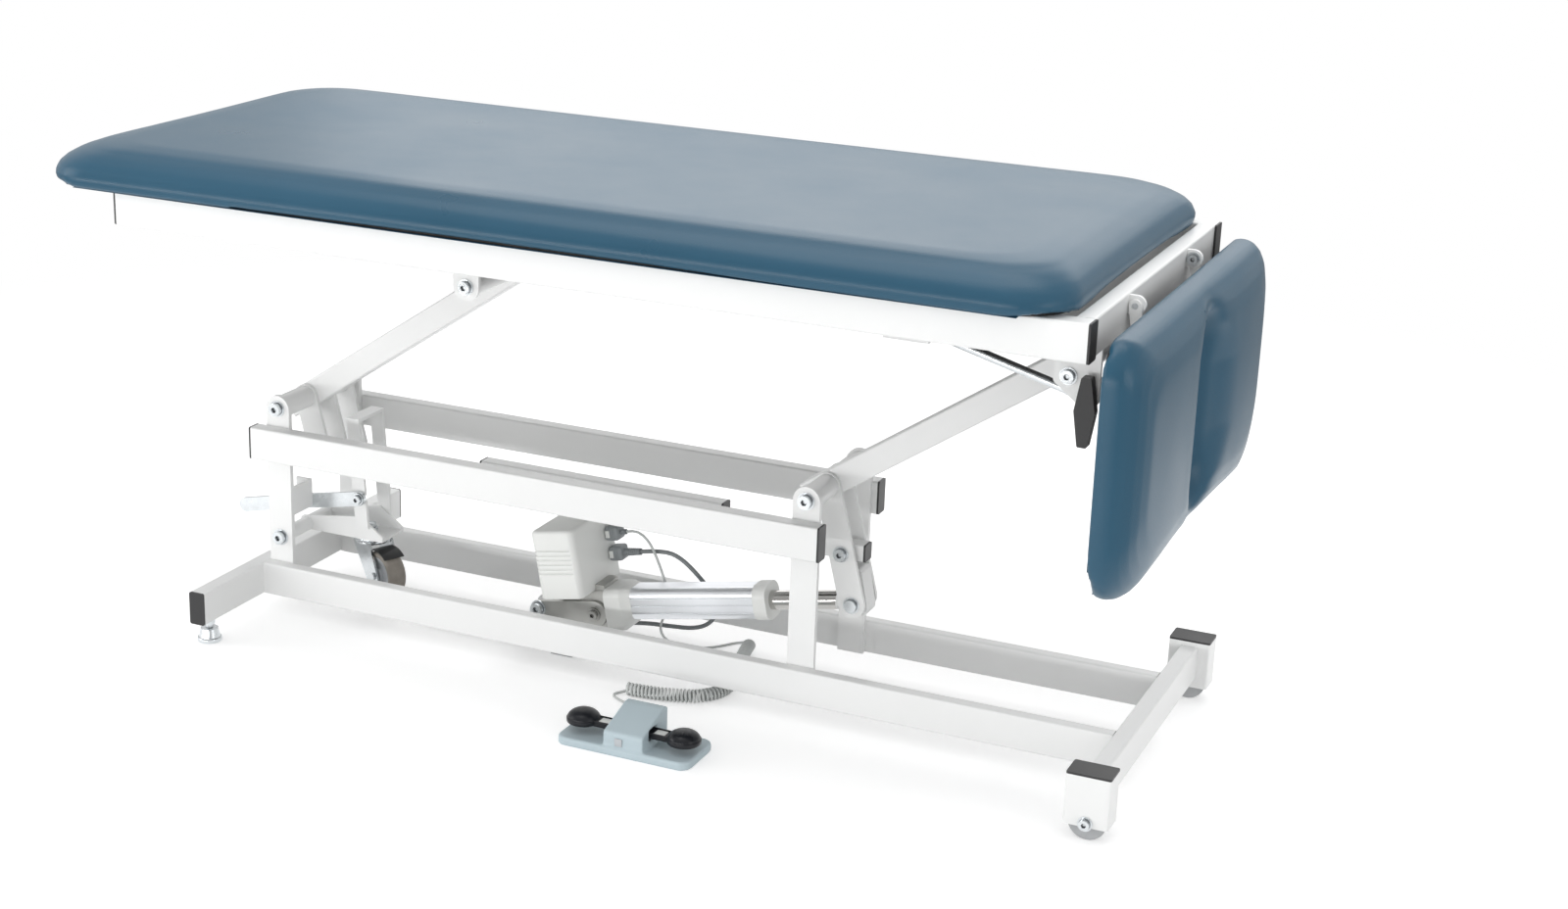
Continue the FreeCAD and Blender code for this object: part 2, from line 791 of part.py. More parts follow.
def motor_box():
    """The moulded motor and control box, with cooling grooves across its front and rear."""
    points = [actuator_point(u, motor_w[0], y) for u, y in
              ((motor_u[0], -motor_half_depth), (motor_u[1], -motor_half_depth),
               (motor_u[1], motor_half_depth), (motor_u[0], motor_half_depth))]
    rise = actuator_frame()[2]
    body = slab(points, [motor_corner] * 4, rise * (motor_w[1] - motor_w[0]))
    height = motor_w[1] - motor_w[0] - touching
    upper = [edge for edge in body.Edges
             if all((vertex.Point - points[0]).dot(rise) > height for vertex in edge.Vertexes)]
    body = body.makeFillet(motor_corner / 2, upper)
    for index in range(motor_groove_count):
        low = motor_groove_first + index * motor_groove_pitch
        span = (low, low + motor_groove_height)
        outer = actuator_bar((motor_u[0] - overrun, motor_u[1] - 2 * motor_corner), span,
                             motor_half_depth + overrun, 0)
        inner = actuator_bar((motor_u[0] + motor_groove_depth, motor_u[1]), span,
                             motor_half_depth - motor_groove_depth, 0)
        body = body.cut(outer.cut(inner))
    return body


def gear_housing():
    """The cast gear housing with its drum, its side cheeks and the fork round the rear lug."""
    body = actuator_bar(housing_u, housing_w, cheek_outer_y - cheek_thickness, 0)
    drum = cylinder(actuator_point(drum_centre[0], drum_centre[1], -drum_half_width),
                    actuator_point(drum_centre[0], drum_centre[1], drum_half_width), drum_radius)
    reach = 2 * drum_radius
    limit = actuator_bar((housing_u[0], housing_u[1]), (-reach, reach), reach, 0)
    keep_out = actuator_bar((motor_u[0] - overrun, motor_u[1]), (motor_w[0], motor_w[1]), motor_half_depth, 0)
    body = body.fuse(drum.common(limit).cut(keep_out))
    tail = actuator_point(0, 0)
    front = actuator_point(cheek_front[0], cheek_front[1])
    for side in (FRONT, REAR):
        low, high = sorted((side * cheek_outer_y, side * (cheek_outer_y - cheek_thickness)))
        cheek = link_plate((tail.x, tail.z), cheek_tail_radius, (front.x, front.z), cheek_front_radius,
                           low, high)
        body = body.fuse(cheek.cut(hole(tail.x, tail.z, rear_pin_radius + running_fit, low, high)))
        seat = place(front.x, side * cheek_outer_y, front.z)
        body = body.fuse(bolt(seat, Y * -side, small_bolt, cheek_thickness))
    return body.removeSplitter()


def actuator_sleeve():
    """The extruded aluminium sleeve with its bore and lengthwise grooves."""
    half = sleeve_size / 2
    span = (collar_u[2], sleeve_end_u)
    body = actuator_bar(span, (-half, half), half, sleeve_corner)
    body = body.cut(actuator_bore((span[0] - overrun, span[1] + overrun), sleeve_bore_radius))
    for side in (FRONT, REAR):
        for step in (-1, 0, 1):
            middle = step * sleeve_groove_pitch
            start = actuator_point(span[0] - overrun, middle, side * half)
            end = actuator_point(span[1] + overrun, middle, side * half)
            body = body.cut(bar(start, end, 2 * sleeve_groove_depth, sleeve_groove, 0))
    return body


def sleeve_collars():
    """The flared collar behind the sleeve and the ring at its mouth that guides the rod."""
    half = sleeve_size / 2
    straight = actuator_bar((collar_u[0], collar_u[1]), collar_w, collar_half_width, collar_corner)
    large = outline([actuator_point(collar_u[1], w, y) for w, y in
                     ((collar_w[0], -collar_half_width), (collar_w[1], -collar_half_width),
                      (collar_w[1], collar_half_width), (collar_w[0], collar_half_width))],
                     [collar_corner] * 4)
    small = outline([actuator_point(collar_u[2], w, y) for w, y in
                     ((-half, -half), (half, -half), (half, half), (-half, half))], [collar_corner] * 4)
    rear = straight.fuse(Part.makeLoft([large, small], True, True))
    bore = actuator_bore((sleeve_bore_start, collar_u[2] + overrun), sleeve_bore_radius)
    rear = rear.removeSplitter().cut(bore)
    ring_half = nose_collar_size / 2
    span = (sleeve_end_u, sleeve_end_u + nose_collar_length)
    mouth = actuator_bar(span, (-ring_half, ring_half), ring_half, nose_collar_corner)
    mouth = mouth.cut(actuator_bore((span[0] - overrun, span[1] + overrun), rod_radius + running_fit))
    return rear, mouth


def piston_rod():
    """The rod with its piston and the slotted eye that the lever pin rides in."""
    pin_u = actuator_length()
    eye_start = pin_u - eye_half_width
    rod = actuator_bore((rod_inner_u, eye_start + eye_corner), rod_radius)
    piston = actuator_bore((rod_inner_u, rod_inner_u + piston_length), sleeve_bore_radius - running_fit)
    eye = slab([actuator_point(u, w, -eye_half_thickness) for u, w in
                ((eye_start, -eye_below), (pin_u + eye_half_width, -eye_below),
                 (pin_u + eye_half_width, eye_above), (eye_start, eye_above))],
               [eye_corner] * 4, Y * (2 * eye_half_thickness))
    slot_round = slot_half_width - touching
    slot = slab([actuator_point(u, w, -eye_half_thickness - overrun) for u, w in
                 ((pin_u - slot_half_width, -slot_below), (pin_u + slot_half_width, -slot_below),
                  (pin_u + slot_half_width, slot_above), (pin_u - slot_half_width, slot_above))],
                [slot_round] * 4, Y * (2 * eye_half_thickness + 2 * overrun))
    return rod.fuse([piston, eye.cut(slot)]).removeSplitter().cut(slot)


# Top frame

def top_rail(side):
    y = side * (top_rail_outer_y - top_rail_width / 2)
    return tube(place(top_rail_foot_x, y, top_rail_middle), place(top_rail_head_x, y, top_rail_middle),
                top_rail_width, top_rail_height)


def cross_members():
    """Four tubes between the side rails: at both ends and over both pairs of brackets."""
    half = cross_width / 2
    places = (top_rail_foot_x + half, foot_upper_x, head_upper_x, top_rail_head_x - half)
    return [tube(place(x, -top_rail_inner_y, top_rail_middle), place(x, top_rail_inner_y, top_rail_middle),
                 cross_width, top_rail_height, X) for x in places]


def top_caps():
    caps = []
    for side in (FRONT, REAR):
        y = side * (top_rail_outer_y - top_rail_width / 2)
        caps.append(end_cap(place(top_rail_foot_x, y, top_rail_middle), -X, top_rail_width, top_rail_height))
        caps.append(end_cap(place(top_rail_head_x, y, top_rail_middle), X, top_rail_width, top_rail_height))
    return caps


def arm_brackets():
    """The plates under the top frame that carry the arms' torque tubes."""
    plates = []
    back, front = head_upper_x - head_bracket_back, head_upper_x + head_bracket_front
    low = upper_height - head_bracket_drop
    head_points = [(back, top_rail_bottom), (back, upper_height - head_bracket_slant[0]),
                   (head_upper_x + head_bracket_slant[1], low), (front, low), (front, top_rail_bottom)]
    left, right = foot_upper_x - foot_bracket_width / 2, foot_upper_x + foot_bracket_width / 2
    foot_low = upper_height - foot_bracket_radius
    foot_points = [(left, top_rail_bottom), (left, foot_low), (right, foot_low), (right, top_rail_bottom)]
    for side in (FRONT, REAR):
        y_low, y_high = sorted((side * bracket_inner_y, side * bracket_outer_y))
        head = plate(head_points, [0, bracket_corner, bracket_corner, bracket_corner, 0], y_low, y_high)
        head = head.cut(hole(head_upper_x, upper_height, frame_bolt[0] + fixed_fit, y_low, y_high))
        if side == FRONT:
            head = head.cut(hole(handle_pivot[0], handle_pivot[1], handle_shaft_radius + running_fit,
                                 y_low, y_high))
        foot = plate(foot_points, [0, foot_bracket_radius, foot_bracket_radius, 0], y_low, y_high)
        foot = foot.cut(hole(foot_upper_x, upper_height, frame_bolt[0] + fixed_fit, y_low, y_high))
        plates += [head, foot]
    return plates


def top_bolts():
    """The bolts through the arm brackets and through the hinge tabs."""
    bolts = []
    for side in (FRONT, REAR):
        for x in (foot_upper_x, head_upper_x):
            bolts.append(bolt(place(x, side * bracket_outer_y, upper_height), Y * -side, frame_bolt,
                              pivot_bolt_reach))
        seat_y = side * (hinge_tab_y - hinge_tab_thickness / 2)
        reach = 2 * hinge_tab_thickness + 2 * body_gap
        bolts.append(bolt(place(hinge_x, seat_y, hinge_height), Y * side, hinge_bolt, reach))
    return bolts


def pad_outline(x_span, half_width, corner, pull, z):
    """A rectangle with round corners whose long and short sides pull in between them."""
    left, right = x_span
    middle_x = (left + right) / 2
    bulge = corner * corner_bulge_share
    points = [(left + corner, -half_width), (right - corner, -half_width),
              (right, -half_width + corner), (right, half_width - corner),
              (right - corner, half_width), (left + corner, half_width),
              (left, half_width - corner), (left, -half_width + corner)]
    mids = [(middle_x, -half_width + pull), (right - bulge, -half_width + bulge), (right - pull, 0),
            (right - bulge, half_width - bulge), (middle_x, half_width - pull),
            (left + bulge, half_width - bulge), (left + pull, 0), (left + bulge, -half_width + bulge)]
    edges = []
    for index, (x, y) in enumerate(points):
        following = points[(index + 1) % len(points)]
        middle = mids[index]
        edges.append(Part.Arc(place(x, y, z), place(middle[0], middle[1], z),
                              place(following[0], following[1], z)).toShape())
    return Part.Wire(edges)


def deck_board():
    """The board under the main cushion."""
    left, right = pad_foot_x + deck_inset, pad_head_x - deck_inset
    half = pad_width / 2 - deck_inset
    points = [place(left, -half, deck_bottom), place(right, -half, deck_bottom),
              place(right, half, deck_bottom), place(left, half, deck_bottom)]
    return slab(points, [pad_corner - deck_inset] * 4, Z * deck_thickness)


# How far a round corner's middle lies inside its sharp corner, as a share of the radius
corner_bulge_share = 1 - math.sqrt(0.5)

# Share of a cushion's thickness and share of its edge inset at each level of its side
cushion_level_shares = (0.0, 0.10, 0.28, 0.50, 0.70, 0.85, 0.95, 1.0)
cushion_inset_shares = (0.06, 0.01, 0.0, 0.045, 0.17, 0.35, 0.60, 1.0)


def main_cushion():
    """The main cushion wraps the board's edge; its sides draw in between the corners under a crowned top."""
    wires = []
    thickness = deck_thickness + pad_thickness
    for level, share in zip(cushion_level_shares, cushion_inset_shares):
        inset = share * pad_edge_inset
        wires.append(pad_outline((pad_foot_x + inset, pad_head_x - inset), pad_width / 2 - inset,
                                 pad_corner, side_pull, deck_bottom + level * thickness))
    return Part.makeLoft(wires, True, True).cut(deck_board())


# Nose section

def nose_outline(inset, notch, top_corner, low_corner, x):
    """The nose section's outline in a YZ plane, with a shallow notch in its lower edge."""
    half = pad_width / 2 - inset
    top = hinge_height - nose_pad_below_hinge - inset
    low = hinge_height - nose_pad_drop + inset
    high_bulge = top_corner * corner_bulge_share
    low_bulge = low_corner * corner_bulge_share
    points = [(-half + low_corner, low), (half - low_corner, low), (half, low + low_corner),
              (half, top - top_corner), (half - top_corner, top), (-half + top_corner, top),
              (-half, top - top_corner), (-half, low + low_corner)]
    mids = [(0, low + notch), (half - low_bulge, low + low_bulge), None,
            (half - high_bulge, top - high_bulge), None, (-half + high_bulge, top - high_bulge), None,
            (-half + low_bulge, low + low_bulge)]
    edges = []
    for index, (y, z) in enumerate(points):
        end = points[(index + 1) % len(points)]
        start, finish = place(x, y, z), place(x, end[0], end[1])
        if mids[index]:
            edges.append(Part.Arc(start, place(x, mids[index][0], mids[index][1]), finish).toShape())
        else:
            edges.append(Part.makeLine(start, finish))
    return Part.Wire(edges)


def face_slot(x, extra):
    """The face slot's outline at one depth, larger by extra all round."""
    half = face_slot_half_width + extra
    low, high = hinge_height - face_slot_drops[0] - extra, hinge_height - face_slot_drops[1] + extra
    points = [place(x, -half, low), place(x, half, low), place(x, half, high), place(x, -half, high)]
    return outline(points, [half - body_gap] * 4)


def nose_board():
    """The board of the nose section, with the face slot through it."""
    back = hinge_x + nose_back
    half = pad_width / 2 - nose_inset
    top = hinge_height - nose_board_below_hinge
    low = hinge_height - nose_pad_drop + nose_inset
    points = [place(back, -half, low), place(back, half, low), place(back, half, top),
              place(back, -half, top)]
    corners = [nose_low_corner - nose_inset] * 2 + [nose_top_corner - nose_inset] * 2
    body = slab(points, corners, X * nose_board_thickness)
    slot = Part.Face(face_slot(back - overrun, 0)).extrude(X * (nose_board_thickness + 2 * overrun))
    return body.cut(slot)


# Share of a cushion's thickness and share of the flare at each level of the face slot
slot_level_shares = (0.40, 0.62, 0.80, 0.92, 1.0)
slot_flare_shares = (0.0, 0.09, 0.27, 0.53, 1.0)


def nose_cushion():
    """The nose cushion wraps its board: a crowned face, a notched lower edge and a flared face slot."""
    back = hinge_x + nose_back
    thickness = hinge_x + nose_reach - back
    wires = []
    for level, share in zip(cushion_level_shares, cushion_inset_shares):
        wires.append(nose_outline(share * nose_edge_inset, nose_notch, nose_top_corner, nose_low_corner,
                                  back + level * thickness))
    body = Part.makeLoft(wires, True, True)
    straight_end = back + slot_level_shares[0] * thickness
    straight = Part.Face(face_slot(back - overrun, 0)).extrude(X * (straight_end + overrun - back))
    flare = Part.makeLoft([face_slot(back + level * thickness, share * face_slot_flare)
                           for level, share in zip(slot_level_shares, slot_flare_shares)], True, False)
    return body.cut(straight).cut(flare).cut(nose_board())


def hinge_tabs():
    """The plates on the head-end cross member that carry the nose section's hinge bolts."""
    tabs = []
    for side in (FRONT, REAR):
        y_low = side * hinge_tab_y - hinge_tab_thickness / 2
        low, high = hinge_height - hinge_tab_radius, hinge_height + hinge_tab_radius
        front = hinge_x + hinge_tab_radius
        points = [(top_rail_head_x, high), (top_rail_head_x, low), (front, low), (front, high)]
        round_end = hinge_tab_radius - touching
        body = plate(points, [0, 0, round_end, round_end], y_low, y_low + hinge_tab_thickness)
        tabs.append(body.cut(hole(hinge_x, hinge_height, hinge_bolt[0] + fixed_fit, y_low,
                                  y_low + hinge_tab_thickness)))
    return tabs


def nose_hinges():
    """The hinge plates on the back of the nose board, each with an ear beside its tab."""
    hinges = []
    back = hinge_x + nose_back
    top = hinge_height - nose_board_below_hinge
    for side in (FRONT, REAR):
        inner = hinge_tab_y + hinge_tab_thickness / 2 + body_gap
        y_low, y_high = sorted((side * inner, side * (inner + hinge_tab_thickness)))
        ear = link_plate((hinge_x, hinge_height), nose_ear_radius,
                         (back - nose_ear_radius, top - nose_plate_height / 2), nose_ear_radius,
                         y_low, y_high)
        ear = ear.fuse(box((back - nose_ear_radius, back), (y_low, y_high),
                           (top - nose_plate_height / 2 - nose_ear_radius, top - nose_plate_height / 4)))
        ear = ear.cut(hole(hinge_x, hinge_height, hinge_bolt[0] + running_fit, y_low, y_high))
        out_low, out_high = sorted((side * inner, side * (inner + nose_plate_width)))
        leaf = box((back - nose_plate_thickness, back), (out_low, out_high),
                   (top - nose_plate_height, top - nose_plate_height / 4))
        hinges.append(ear.fuse(leaf).removeSplitter())
    return hinges


# Release rod, lock and handle

def release_line():
    """The rod's low end and the unit vector from it towards the foot end."""
    length = math.hypot(1, release_rod_slope)
    low = place(release_rod_low[0], release_rod_y, release_rod_low[1])
    return low, place(-1 / length, 0, -release_rod_slope / length)


def release_rod():
    low, along = release_line()
    rod = cylinder(low + along * crank_width, low + along * release_rod_length, release_rod_radius)
    half_slot = along * (crank_width + overrun)
    tongue = bar(low - half_slot, low + half_slot, crank_thickness,
                 2 * release_rod_radius, 0)
    pin_x, pin_z = crank_pin()
    tongue = tongue.cut(hole(pin_x, pin_z, crank_pin_radius + crank_slack, release_rod_y - crank_thickness,
                             release_rod_y + crank_thickness))
    return rod.fuse(tongue).removeSplitter()


def crank_pin():
    """The point on the rod's line nearest to the handle's pivot, as (x, z)."""
    low, along = release_line()
    to_pivot = place(handle_pivot[0], release_rod_y, handle_pivot[1]) - low
    foot = low + along * to_pivot.dot(along)
    return foot.x, foot.z


def lock_body():
    """The lock that the rod works, hung under the deck by two stems."""
    low, along = release_line()
    middle = low + along * (release_rod_length + lock_length / 2 - lock_overlap)
    body = box((middle.x - lock_length / 2, middle.x + lock_length / 2),
               (release_rod_y - lock_width / 2, release_rod_y + lock_width / 2),
               (middle.z - lock_height / 2, middle.z + lock_height / 2))
    for side in (-1, 1):
        x = middle.x + side * lock_length / 4
        body = body.fuse(box((x - lock_stem / 2, x + lock_stem / 2),
                             (release_rod_y - lock_stem / 2, release_rod_y + lock_stem / 2),
                             (middle.z, deck_bottom)))
    bore = cylinder(low, low + along * (release_rod_length + overrun), release_rod_radius + running_fit)
    return body.removeSplitter().cut(bore)


def release_handle():
    """The paddle with its hub, its shaft through the bracket and the crank behind."""
    x, z = handle_pivot
    wide, narrow = handle_wide / 2, handle_narrow / 2
    top_z, wide_z, low_z = z + handle_above, z - handle_waist_drop, z - handle_below
    paddle = plate([(x - narrow, top_z), (x + narrow, top_z), (x + wide, wide_z), (x + narrow, low_z),
                    (x - narrow, low_z), (x - wide, wide_z)],
                   [handle_corner / 2, handle_corner / 2, handle_corner, handle_corner / 2, handle_corner / 2,
                    handle_corner], handle_y[0], handle_y[1])
    hub_end = -bracket_outer_y - body_gap
    hub = cylinder(place(x, handle_y[1], z), place(x, hub_end, z), handle_hub_radius)
    crank_high = release_rod_y - crank_thickness / 2 - body_gap
    shaft = cylinder(place(x, hub_end, z), place(x, crank_high, z), handle_shaft_radius)
    pin_x, pin_z = crank_pin()
    crank = link_plate((x, z), crank_width / 2, (pin_x, pin_z), crank_width / 3,
                       crank_high - crank_thickness, crank_high)
    pin = cylinder(place(pin_x, crank_high, pin_z), place(pin_x, release_rod_y + crank_thickness / 2, pin_z),
                   crank_pin_radius)
    return paddle.fuse([hub, shaft, crank, pin]).removeSplitter()


# Lifting caster

def caster_point(offset):
    """A point given as an offset from the caster arm's shaft along X and a height."""
    return foot_pivot_x + offset[0], offset[1]


def strap_leg(x_low, x_high):
    """The slanting edge line of the strap: x at the bottom and at the top."""
    return [(x_low - strap_width, strap_bottom), (x_low, strap_bottom),
            (x_high, strap_top), (x_high - strap_width, strap_top)]


def caster_arm():
    """The channel arm on its shaft tube, with the upright strap that the lever lifts."""
    shaft_half = post_inner_y - body_gap
    shaft = cylinder(place(foot_pivot_x, -shaft_half, caster_pivot_height),
                     place(foot_pivot_x, shaft_half, caster_pivot_height), caster_shaft_radius)
    end_x = foot_pivot_x + caster_arm_end
    half = caster_arm_half_width
    top = caster_plate_height + caster_arm_plate
    body = shaft.fuse(box((foot_pivot_x, end_x), (-half, half), (caster_plate_height, top)))
    for side in (FRONT, REAR):
        low, high = sorted((side * half, side * (half - caster_arm_plate)))
        body = body.fuse(plate([(foot_pivot_x - caster_shaft_radius, caster_plate_height),
                                (end_x, caster_plate_height), (end_x, top + caster_arm_plate),
                                (foot_pivot_x + caster_flange_mid, caster_flange_top),
                                (foot_pivot_x - caster_shaft_radius,
                                 caster_pivot_height + caster_shaft_radius)],
                               [0, 0, caster_arm_plate, caster_arm_plate, caster_arm_plate], low, high))
        leg_low, leg_high = sorted((side * strap_inner_y, side * (strap_inner_y + strap_thickness)))
        leg = plate(strap_leg(foot_pivot_x + strap_bottom_x, foot_pivot_x + strap_top_x), [0] * 4,
                    leg_low, leg_high)
        body = body.fuse(leg)
    outer = strap_inner_y + strap_thickness
    lean = (strap_bottom_x - strap_top_x) / (strap_top - strap_bottom) * strap_thickness
    right = foot_pivot_x + strap_top_x
    bridge = plate([(right - strap_width, strap_top), (right, strap_top),
                    (right + lean, strap_top - strap_thickness),
                    (right + lean - strap_width, strap_top - strap_thickness)], [0] * 4, -outer, outer)
    body = body.fuse(bridge).removeSplitter()
    bore = cylinder(place(foot_pivot_x, -shaft_half - overrun, caster_pivot_height),
                    place(foot_pivot_x, shaft_half + overrun, caster_pivot_height),
                    pivot_bolt[0] + running_fit)
    swivel_x = foot_pivot_x + swivel_offset
    stem_hole = cylinder(place(swivel_x, 0, caster_plate_height - overrun), place(swivel_x, 0, top + overrun),
                         swivel_stem_radius + running_fit)
    bolt_x, bolt_z = caster_point(strap_bolt)
    slot_round = small_bolt[0] + 2 * body_gap
    slot = link_plate((bolt_x - strap_slot_half, bolt_z), slot_round,
                      (bolt_x + strap_slot_half, bolt_z), slot_round,
                      -outer - overrun, -strap_inner_y + overrun)
    return body.cut(bore).cut(stem_hole).cut(slot)


def caster_lever():
    """The flat zinc lever with its end bolt in the strap's slot."""
    pivot = caster_point(lever_pivot)
    outer = caster_point(lever_outer_end)
    end = caster_point(strap_bolt)
    body = link_plate(outer, lever_half_width, pivot, lever_half_width, lever_y[0], lever_y[1])
    body = body.fuse(link_plate(pivot, lever_half_width, end, lever_half_width, lever_y[0], lever_y[1]))
    body = body.cut(hole(pivot[0], pivot[1], small_bolt[0] + running_fit, lever_y[0], lever_y[1]))
    reach = (-strap_inner_y + body_gap) - lever_y[0]
    return body.fuse(bolt(place(end[0], lever_y[0], end[1]), Y, small_bolt, reach)).removeSplitter()


def swivel_frame():
    """The swivel axis, the unit vector the wheel trails along and the wheel's axle vector."""
    angle = math.radians(swivel_angle_deg)
    trail = place(math.cos(angle), math.sin(angle), 0)
    return place(foot_pivot_x + swivel_offset, 0, 0), trail, Z.cross(trail)


def caster_fork():
    """The swivel head, its stem and nut, and the fork legs down to the wheel's axle."""
    axis, trail, axle = swivel_frame()
    stem_top = caster_plate_height + caster_arm_plate
    plate_top = fork_plate_height + fork_plate_thickness
    disc = cylinder(axis + Z * plate_top, axis + Z * (caster_plate_height - body_gap), swivel_disc_radius)
    stem = cylinder(axis + Z * plate_top, axis + Z * (stem_top + 2 * level_nut_height), swivel_stem_radius)
    nut = cylinder(axis + Z * (stem_top + body_gap), axis + Z * (stem_top + level_nut_height),
                   level_nut_radius)
    half = wheel_width / 2 + fork_gap
    outer = half + fork_leg_thickness
    centre = axis + trail * swivel_trail
    corners = [(-swivel_disc_radius, -outer), (swivel_disc_radius, -outer), (swivel_disc_radius, outer),
               (-swivel_disc_radius, outer)]
    crown = slab([axis + trail * a + axle * b + Z * fork_plate_height for a, b in corners],
                 [fork_leg_thickness] * 4, Z * fork_plate_thickness)
    body = crown.fuse([disc, stem, nut])
    for side in (-1, 1):
        start = axle * (side * half)
        travel = axle * (side * fork_leg_thickness)
        foot = centre + Z * (wheel_height - fork_leg_width / 2)
        leg_points = [axis - trail * swivel_disc_radius + Z * plate_top,
                      axis + trail * swivel_disc_radius + Z * plate_top,
                      foot + trail * (fork_leg_width / 2), foot - trail * (fork_leg_width / 2)]
        leg = slab([point + start for point in leg_points],
                   [0, 0, fork_leg_width / 3, fork_leg_width / 3], travel)
        body = body.fuse(leg)
    axle_pin = cylinder(centre + Z * wheel_height - axle * (outer + fork_leg_thickness),
                        centre + Z * wheel_height + axle * (outer + fork_leg_thickness), wheel_axle_radius)
    return body.fuse(axle_pin).removeSplitter()


def caster_wheel():
    """The wheel: a hub with a recessed face and a rounded tyre."""
    axis, trail, axle = swivel_frame()
    centre = axis + trail * swivel_trail + Z * wheel_height
    half = axle * (wheel_width / 2)
    body = cylinder(centre - half, centre + half, wheel_radius)
    body = body.makeFillet(tyre_depth / 2, [edge for edge in body.Edges if edge.Closed])
    for side in (-1, 1):
        face = centre + half * side
        recess = cylinder(face, face - axle * (side * wheel_recess_depth), wheel_radius - tyre_depth)
        boss = cylinder(face, face - half * side, 2 * wheel_axle_radius)
        body = body.cut(recess.cut(boss))
    return body.cut(cylinder(centre - half * 2, centre + half * 2, wheel_axle_radius + running_fit))


# Foot control

def treadle_pocket(side):
    """The cutter for the opening in the hump that one treadle's arm swings in."""
    face_x = hump_x[1] if side > 0 else hump_x[0]
    inner_x = face_x - side * (2 * treadle_pivot_inset)
    outer_x = face_x + side * overrun
    half = treadle_arm_width / 2 + treadle_pocket_gap
    low = dome_low - treadle_pocket_drop
    high = dome_low + treadle_arm_height + treadle_pocket_drop
    x_span = tuple(sorted((inner_x, outer_x)))
    return box(x_span, (treadle_y - half, treadle_y + half), (low, high))


def treadle_pivot(side):
    face_x = hump_x[1] if side > 0 else hump_x[0]
    return face_x - side * treadle_pivot_inset, dome_low + treadle_arm_height / 2


def pedal_housing():
    """The floor plate of the foot control and the sloped hump between the two treadles."""
    points = [place(x, y, 0) for x, y in ((pedal_x[0], pedal_y[0]), (pedal_x[1], pedal_y[0]),
                                          (pedal_x[1], pedal_y[1]), (pedal_x[0], pedal_y[1]))]
    base = slab(points, [pedal_corner] * 4, Z * pedal_plate)
    rim = [edge for edge in base.Edges if all(abs(v.Z - pedal_plate) < touching for v in edge.Vertexes)]
    base = base.makeFillet(pedal_plate / 4, rim)
    front, rear = hump_y
    profile = [place(hump_x[0], y, z) for y, z in
               ((front, pedal_plate - hump_fillet), (front, hump_front_height),
                (rear - hump_ridge, hump_rear_height), (rear, hump_rear_height),
                (rear, pedal_plate - hump_fillet))]
    hump = slab(profile, [0, hump_fillet, hump_fillet, hump_fillet, 0], X * (hump_x[1] - hump_x[0]))
    body = base.fuse(hump).removeSplitter()
    for side in (-1, 1):
        x, z = treadle_pivot(side)
        half = treadle_arm_width / 2 + treadle_pocket_gap + hump_fillet
        body = body.cut(treadle_pocket(side))
        body = body.cut(cylinder(place(x, treadle_y - half, z), place(x, treadle_y + half, z),
                                 treadle_pin_radius + running_fit))
    return body


def treadle(side):
    """A treadle: an arm pivoted in the hump and a domed button at its end."""
    pivot_x, pivot_z = treadle_pivot(side)
    centre = place(pivot_x + side * treadle_reach, treadle_y, 0)
    half = treadle_arm_width / 2
    x_span = tuple(sorted((pivot_x - side * treadle_arm_height / 2, centre.x)))
    arm = box(x_span, (treadle_y - half, treadle_y + half), (dome_low, dome_low + treadle_arm_height))
    skirt = cylinder(centre + Z * dome_low, centre + Z * (dome_low + dome_skirt), dome_radius)
    ball_radius = (dome_radius ** 2 + dome_crown ** 2) / (2 * dome_crown)
    ball = Part.makeSphere(ball_radius, centre + Z * (dome_low + dome_skirt + dome_crown - ball_radius))
    keep = cylinder(centre + Z * (dome_low + dome_skirt),
                    centre + Z * (dome_low + dome_skirt + ball_radius), dome_radius)
    pin_half = half + treadle_pocket_gap + hump_fillet - body_gap
    pin = cylinder(place(pivot_x, treadle_y - pin_half, pivot_z),
                   place(pivot_x, treadle_y + pin_half, pivot_z), treadle_pin_radius)
    return arm.fuse([skirt, ball.common(keep), pin]).removeSplitter()


# Cords

def connector(spot, radius, relief_length):
    """A moulded connector on the box's head-side face with its ribbed strain relief."""
    y, w = spot
    u = motor_u[1]
    start = u + connector_length
    tip = start + relief_length
    body = bar(actuator_point(u, w, y), actuator_point(start, w, y), connector_width, connector_height,
               connector_height / 3)
    core = cylinder(actuator_point(start, w, y), actuator_point(tip, w, y), radius + relief_rib / 2)
    body = body.fuse(core)
    pitch = relief_length / relief_rib_count
    for index in range(relief_rib_count):
        low = start + index * pitch
        high = low + min(relief_rib, pitch / 2)
        body = body.fuse(cylinder(actuator_point(low, w, y), actuator_point(high, w, y), radius + relief_rib))
    return body.removeSplitter()


def cord_exit(spot, relief_length, gap):
    """Where a cord starts, just off its connector's tip."""
    return actuator_point(motor_u[1] + connector_length + relief_length + gap, spot[1], spot[0])


